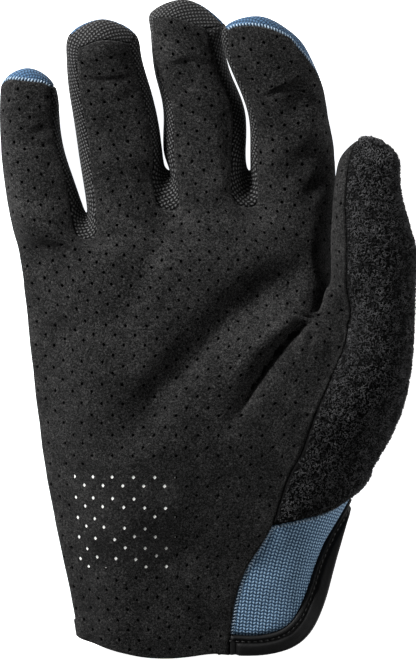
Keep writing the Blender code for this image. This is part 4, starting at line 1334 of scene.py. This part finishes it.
def add_pile(panel, heights):
    """Curls of yarn all over the terry, each a short bent thread with both ends in the cloth."""
    draws = np.random.default_rng(7)
    outer = panel.points + panel.normals * heights[:, None]
    corners = outer[panel.quads]
    areas = quad_areas(corners)
    areas = np.where(panel.inside[panel.quads].min(1) > CURLS_FROM_EDGE, areas, 0)
    share = areas / areas.sum()
    material = yarn()
    count = CURLS
    for piece in (1, 2, 3):
        quads = draws.choice(len(share), count, p=share)
        u, v = draws.random((2, count, 1))
        mine = corners[quads]
        near, far = mine[:, 0] * (1 - u) + mine[:, 1] * u, mine[:, 3] * (1 - u) + mine[:, 2] * u
        spots = near * (1 - v) + far * v
        normals = panel.normals[panel.quads[quads, 0]]
        turn = draws.random((count, 1)) * 2 * math.pi
        first = np.cross(normals, (0.3, 0.9, 0.2))
        first /= np.linalg.norm(first, axis=1, keepdims=True)
        second = np.cross(normals, first)
        along = first * np.cos(turn) + second * np.sin(turn)
        across = np.cross(normals, along)
        length = CURL_LENGTH[0] + CURL_LENGTH[1] * draws.random((count, 1))
        tall = CURL_HEIGHT[0] + CURL_HEIGHT[1] * draws.random((count, 1))
        bend = CURL_BEND * (draws.random((count, 1)) - 0.5)
        rings = []
        for ring in range(YARN_RINGS):
            t = ring / (YARN_RINGS - 1)
            bow = math.sin(math.pi * t)
            middle = spots + along * length * (t - 0.5) + across * bend * bow
            middle += normals * (tall * bow - CURL_SINK)
            for side in range(YARN_SIDES):
                at = 2 * math.pi * side / YARN_SIDES
                rings.append(middle + (across * math.cos(at) + normals * math.sin(at)) * YARN_RADIUS)
        points = np.stack(rings, 1).reshape(-1, 3)
        points[:, 2] = np.maximum(points[:, 2], LEAST_HEIGHT)
        curl = []
        for ring in range(YARN_RINGS - 1):
            for side in range(YARN_SIDES):
                after = (side + 1) % YARN_SIDES
                low, high = ring * YARN_SIDES, (ring + 1) * YARN_SIDES
                curl.append((low + side, high + side, high + after, low + after))
        every = np.arange(count)[:, None, None] * YARN_RINGS * YARN_SIDES + np.array(curl)
        new_piece(f"terry_pile_{piece}", points, every.reshape(-1, 4).tolist(), None, material)


def surface_of(name):
    mesh = bpy.data.objects[name].data
    return BVHTree.FromPolygons([vert.co for vert in mesh.vertices],
                                [tuple(face.vertices) for face in mesh.polygons])


def add_threads(skin, panels):
    """The rows of stitches on the tape and the pale overlocked edges of the knit."""
    black = thread("black_thread", grey(0.010), grey(0.09))
    tape_face = surface_of("cuff_tape")
    chain = seam_lines(skin, "cuff_binding", "back")[0]
    line = Line(skin, panels["cuff_binding"], chain, GROOVE[1], tape_face)
    points, along, normals, _ = line.every(STITCH_STEP)
    verts, faces = thread_mesh(points + normals * STITCH_PROUD, along, normals, *STITCH)
    new_piece("tape_stitches", verts, faces, None, black)
    pale = thread("pale_thread", (0.12, 0.19, 0.27), (0.42, 0.52, 0.62))
    verts, faces = [], []
    knit_face = surface_of("back_knit")
    for other in ("palm", "thumb_panel"):
        for chain in seam_lines(skin, "back", other):
            line = Line(skin, panels["back"], chain, OVERLOCK_IN, knit_face)
            points, along, normals, sides = line.every(OVERLOCK_STEP)
            shown = (points[:, 1] > TIPS_FROM) | ((points[:, 0] > 0) & (points[:, 1] < GUSSET_TO))
            lean = along * OVERLOCK_LEAN + sides
            lean /= np.linalg.norm(lean, axis=1, keepdims=True)
            more, quads = thread_mesh(points[shown], lean[shown], normals[shown], *OVERLOCK)
            faces += [[corner + len(verts) for corner in face] for face in quads]
            verts += more
    new_piece("knit_overlock", verts, faces, None, pale)


def skin_seam_distance(skin, panel):
    """Distance of each of a panel's points from its seams, leaving out the open rim of the cuff."""
    edges, sides = edge_table(skin.quads)
    open_rim = set(np.unique(edges[sides[:, 1] < 0]).tolist())
    seam = [vert for vert in np.unique(panel.edge[:, 0]).tolist() if panel.kept[vert] not in open_rim]
    tree = tree_of(panel.points[seam])
    return np.array([tree.find(point)[2] for point in panel.points])


def add_lining(skin):
    """A dark closed layer under the cloth, which closes the perforations from behind."""
    count = skin.base_count
    faces = skin.base_quads
    layers = [skin.points[:count] - skin.normals[:count] * depth for depth in LINING_DEPTHS]
    points = np.concatenate(layers)
    points[:, 2] = np.maximum(points[:, 2], np.repeat(LINING_LOWEST, count))
    every = faces[:, ::-1].tolist() + (faces + count).tolist()
    every += [[a, b, b + count, a + count] for a, b in open_edges(faces)]
    look = Cloth("lining", 0.9, 0.1)
    rows = look.noise(0.0008, 3, 0.6)
    material = look.finish(look.colours(rows, (0.3, grey(0.0002)), (0.7, grey(0.0008))),
                           rows, 0.0002)
    piece = new_piece("lining", points, every, None, material)
    area = float(quad_areas(points[faces]).sum())


def add_see_through_patch(skin):
    """The white patch behind the perforations, let down onto the skin: painted light, a white sheet standing
    in for the light seen through the holes.
    """
    tree = BVHTree.FromPolygons([tuple(point) for point in skin.points], skin.quads.tolist())
    left = (ROWS[SEE_THROUGH_PATCH_ROW].outer_across - 0.5) * PALM_WIDTH + SEE_THROUGH_PATCH_FROM_EDGE
    low = SEE_THROUGH_PATCH_FROM_CUFF
    cells = PATCH_CELLS
    points, faces = [], []
    for row in range(cells + 1):
        for column in range(cells + 1):
            spot = Vector((left + SEE_THROUGH_PATCH_WIDTH * column / cells - skin_shift[0],
                           low + SEE_THROUGH_PATCH_LENGTH * row / cells - skin_shift[1], RAY_FROM))
            hit, normal, _, _ = tree.ray_cast(spot, Vector((0, 0, -1)))
            points.append(hit + normal * PATCH_PROUD)
    across = cells + 1
    for row in range(cells):
        for column in range(cells):
            at = row * across + column
            faces.append([at, at + 1, at + across + 1, at + across])
    piece = new_piece("label_patch", [tuple(point) for point in points], faces, None, see_through_white(),
                      ("inner_label",))


def add_light(name, place, size, power):
    data = bpy.data.lights.new(name, "AREA")
    data.shape = "DISK"
    data.size = size
    data.energy = power
    light = bpy.data.objects.new(name, data)
    light.location = place
    towards = Vector((0, 0, GLOVE_MIDDLE_HIGH)) - Vector(place)
    light.rotation_euler = towards.to_track_quat("-Z", "Y").to_euler()
    bpy.context.scene.collection.objects.link(light)


def set_stage():
    scene = bpy.context.scene
    scene.view_settings.view_transform = "Standard"
    mesh = bpy.data.meshes.new("floor")
    half = FLOOR_HALF
    mesh.from_pydata([(-half, -half, 0), (half, -half, 0), (half, half, 0), (-half, half, 0)], [],
                     [(0, 1, 2, 3)])
    floor = bpy.data.objects.new("floor", mesh)
    scene.collection.objects.link(floor)
    look = Cloth("floor", 0.9, 0.0)
    look.shader.inputs["Base Color"].default_value = (*grey(FLOOR_GREY), 1)
    look.shader.inputs["Emission Color"].default_value = (1, 1, 1, 1)
    look.shader.inputs["Emission Strength"].default_value = FLOOR_GLOW
    mesh.materials.append(look.material)
    world = bpy.data.worlds.new("studio")
    world.use_nodes = True
    world.node_tree.nodes["Background"].inputs["Color"].default_value = (1, 1, 1, 1)
    world.node_tree.nodes["Background"].inputs["Strength"].default_value = STUDIO_GLOW
    scene.world = world
    for lamp in LAMPS:
        add_light(*lamp)
    camera = bpy.data.cameras.new("camera")
    camera.lens = LENS_WIDTH * (CAMERA_HEIGHT - GLOVE_MIDDLE_HIGH) / PHOTO_HEIGHT
    camera.sensor_width = LENS_WIDTH
    camera.clip_end = 20
    eye = bpy.data.objects.new("camera", camera)
    eye.location = (*PHOTO_CENTRE, CAMERA_HEIGHT)
    scene.collection.objects.link(eye)
    scene.camera = eye


main()
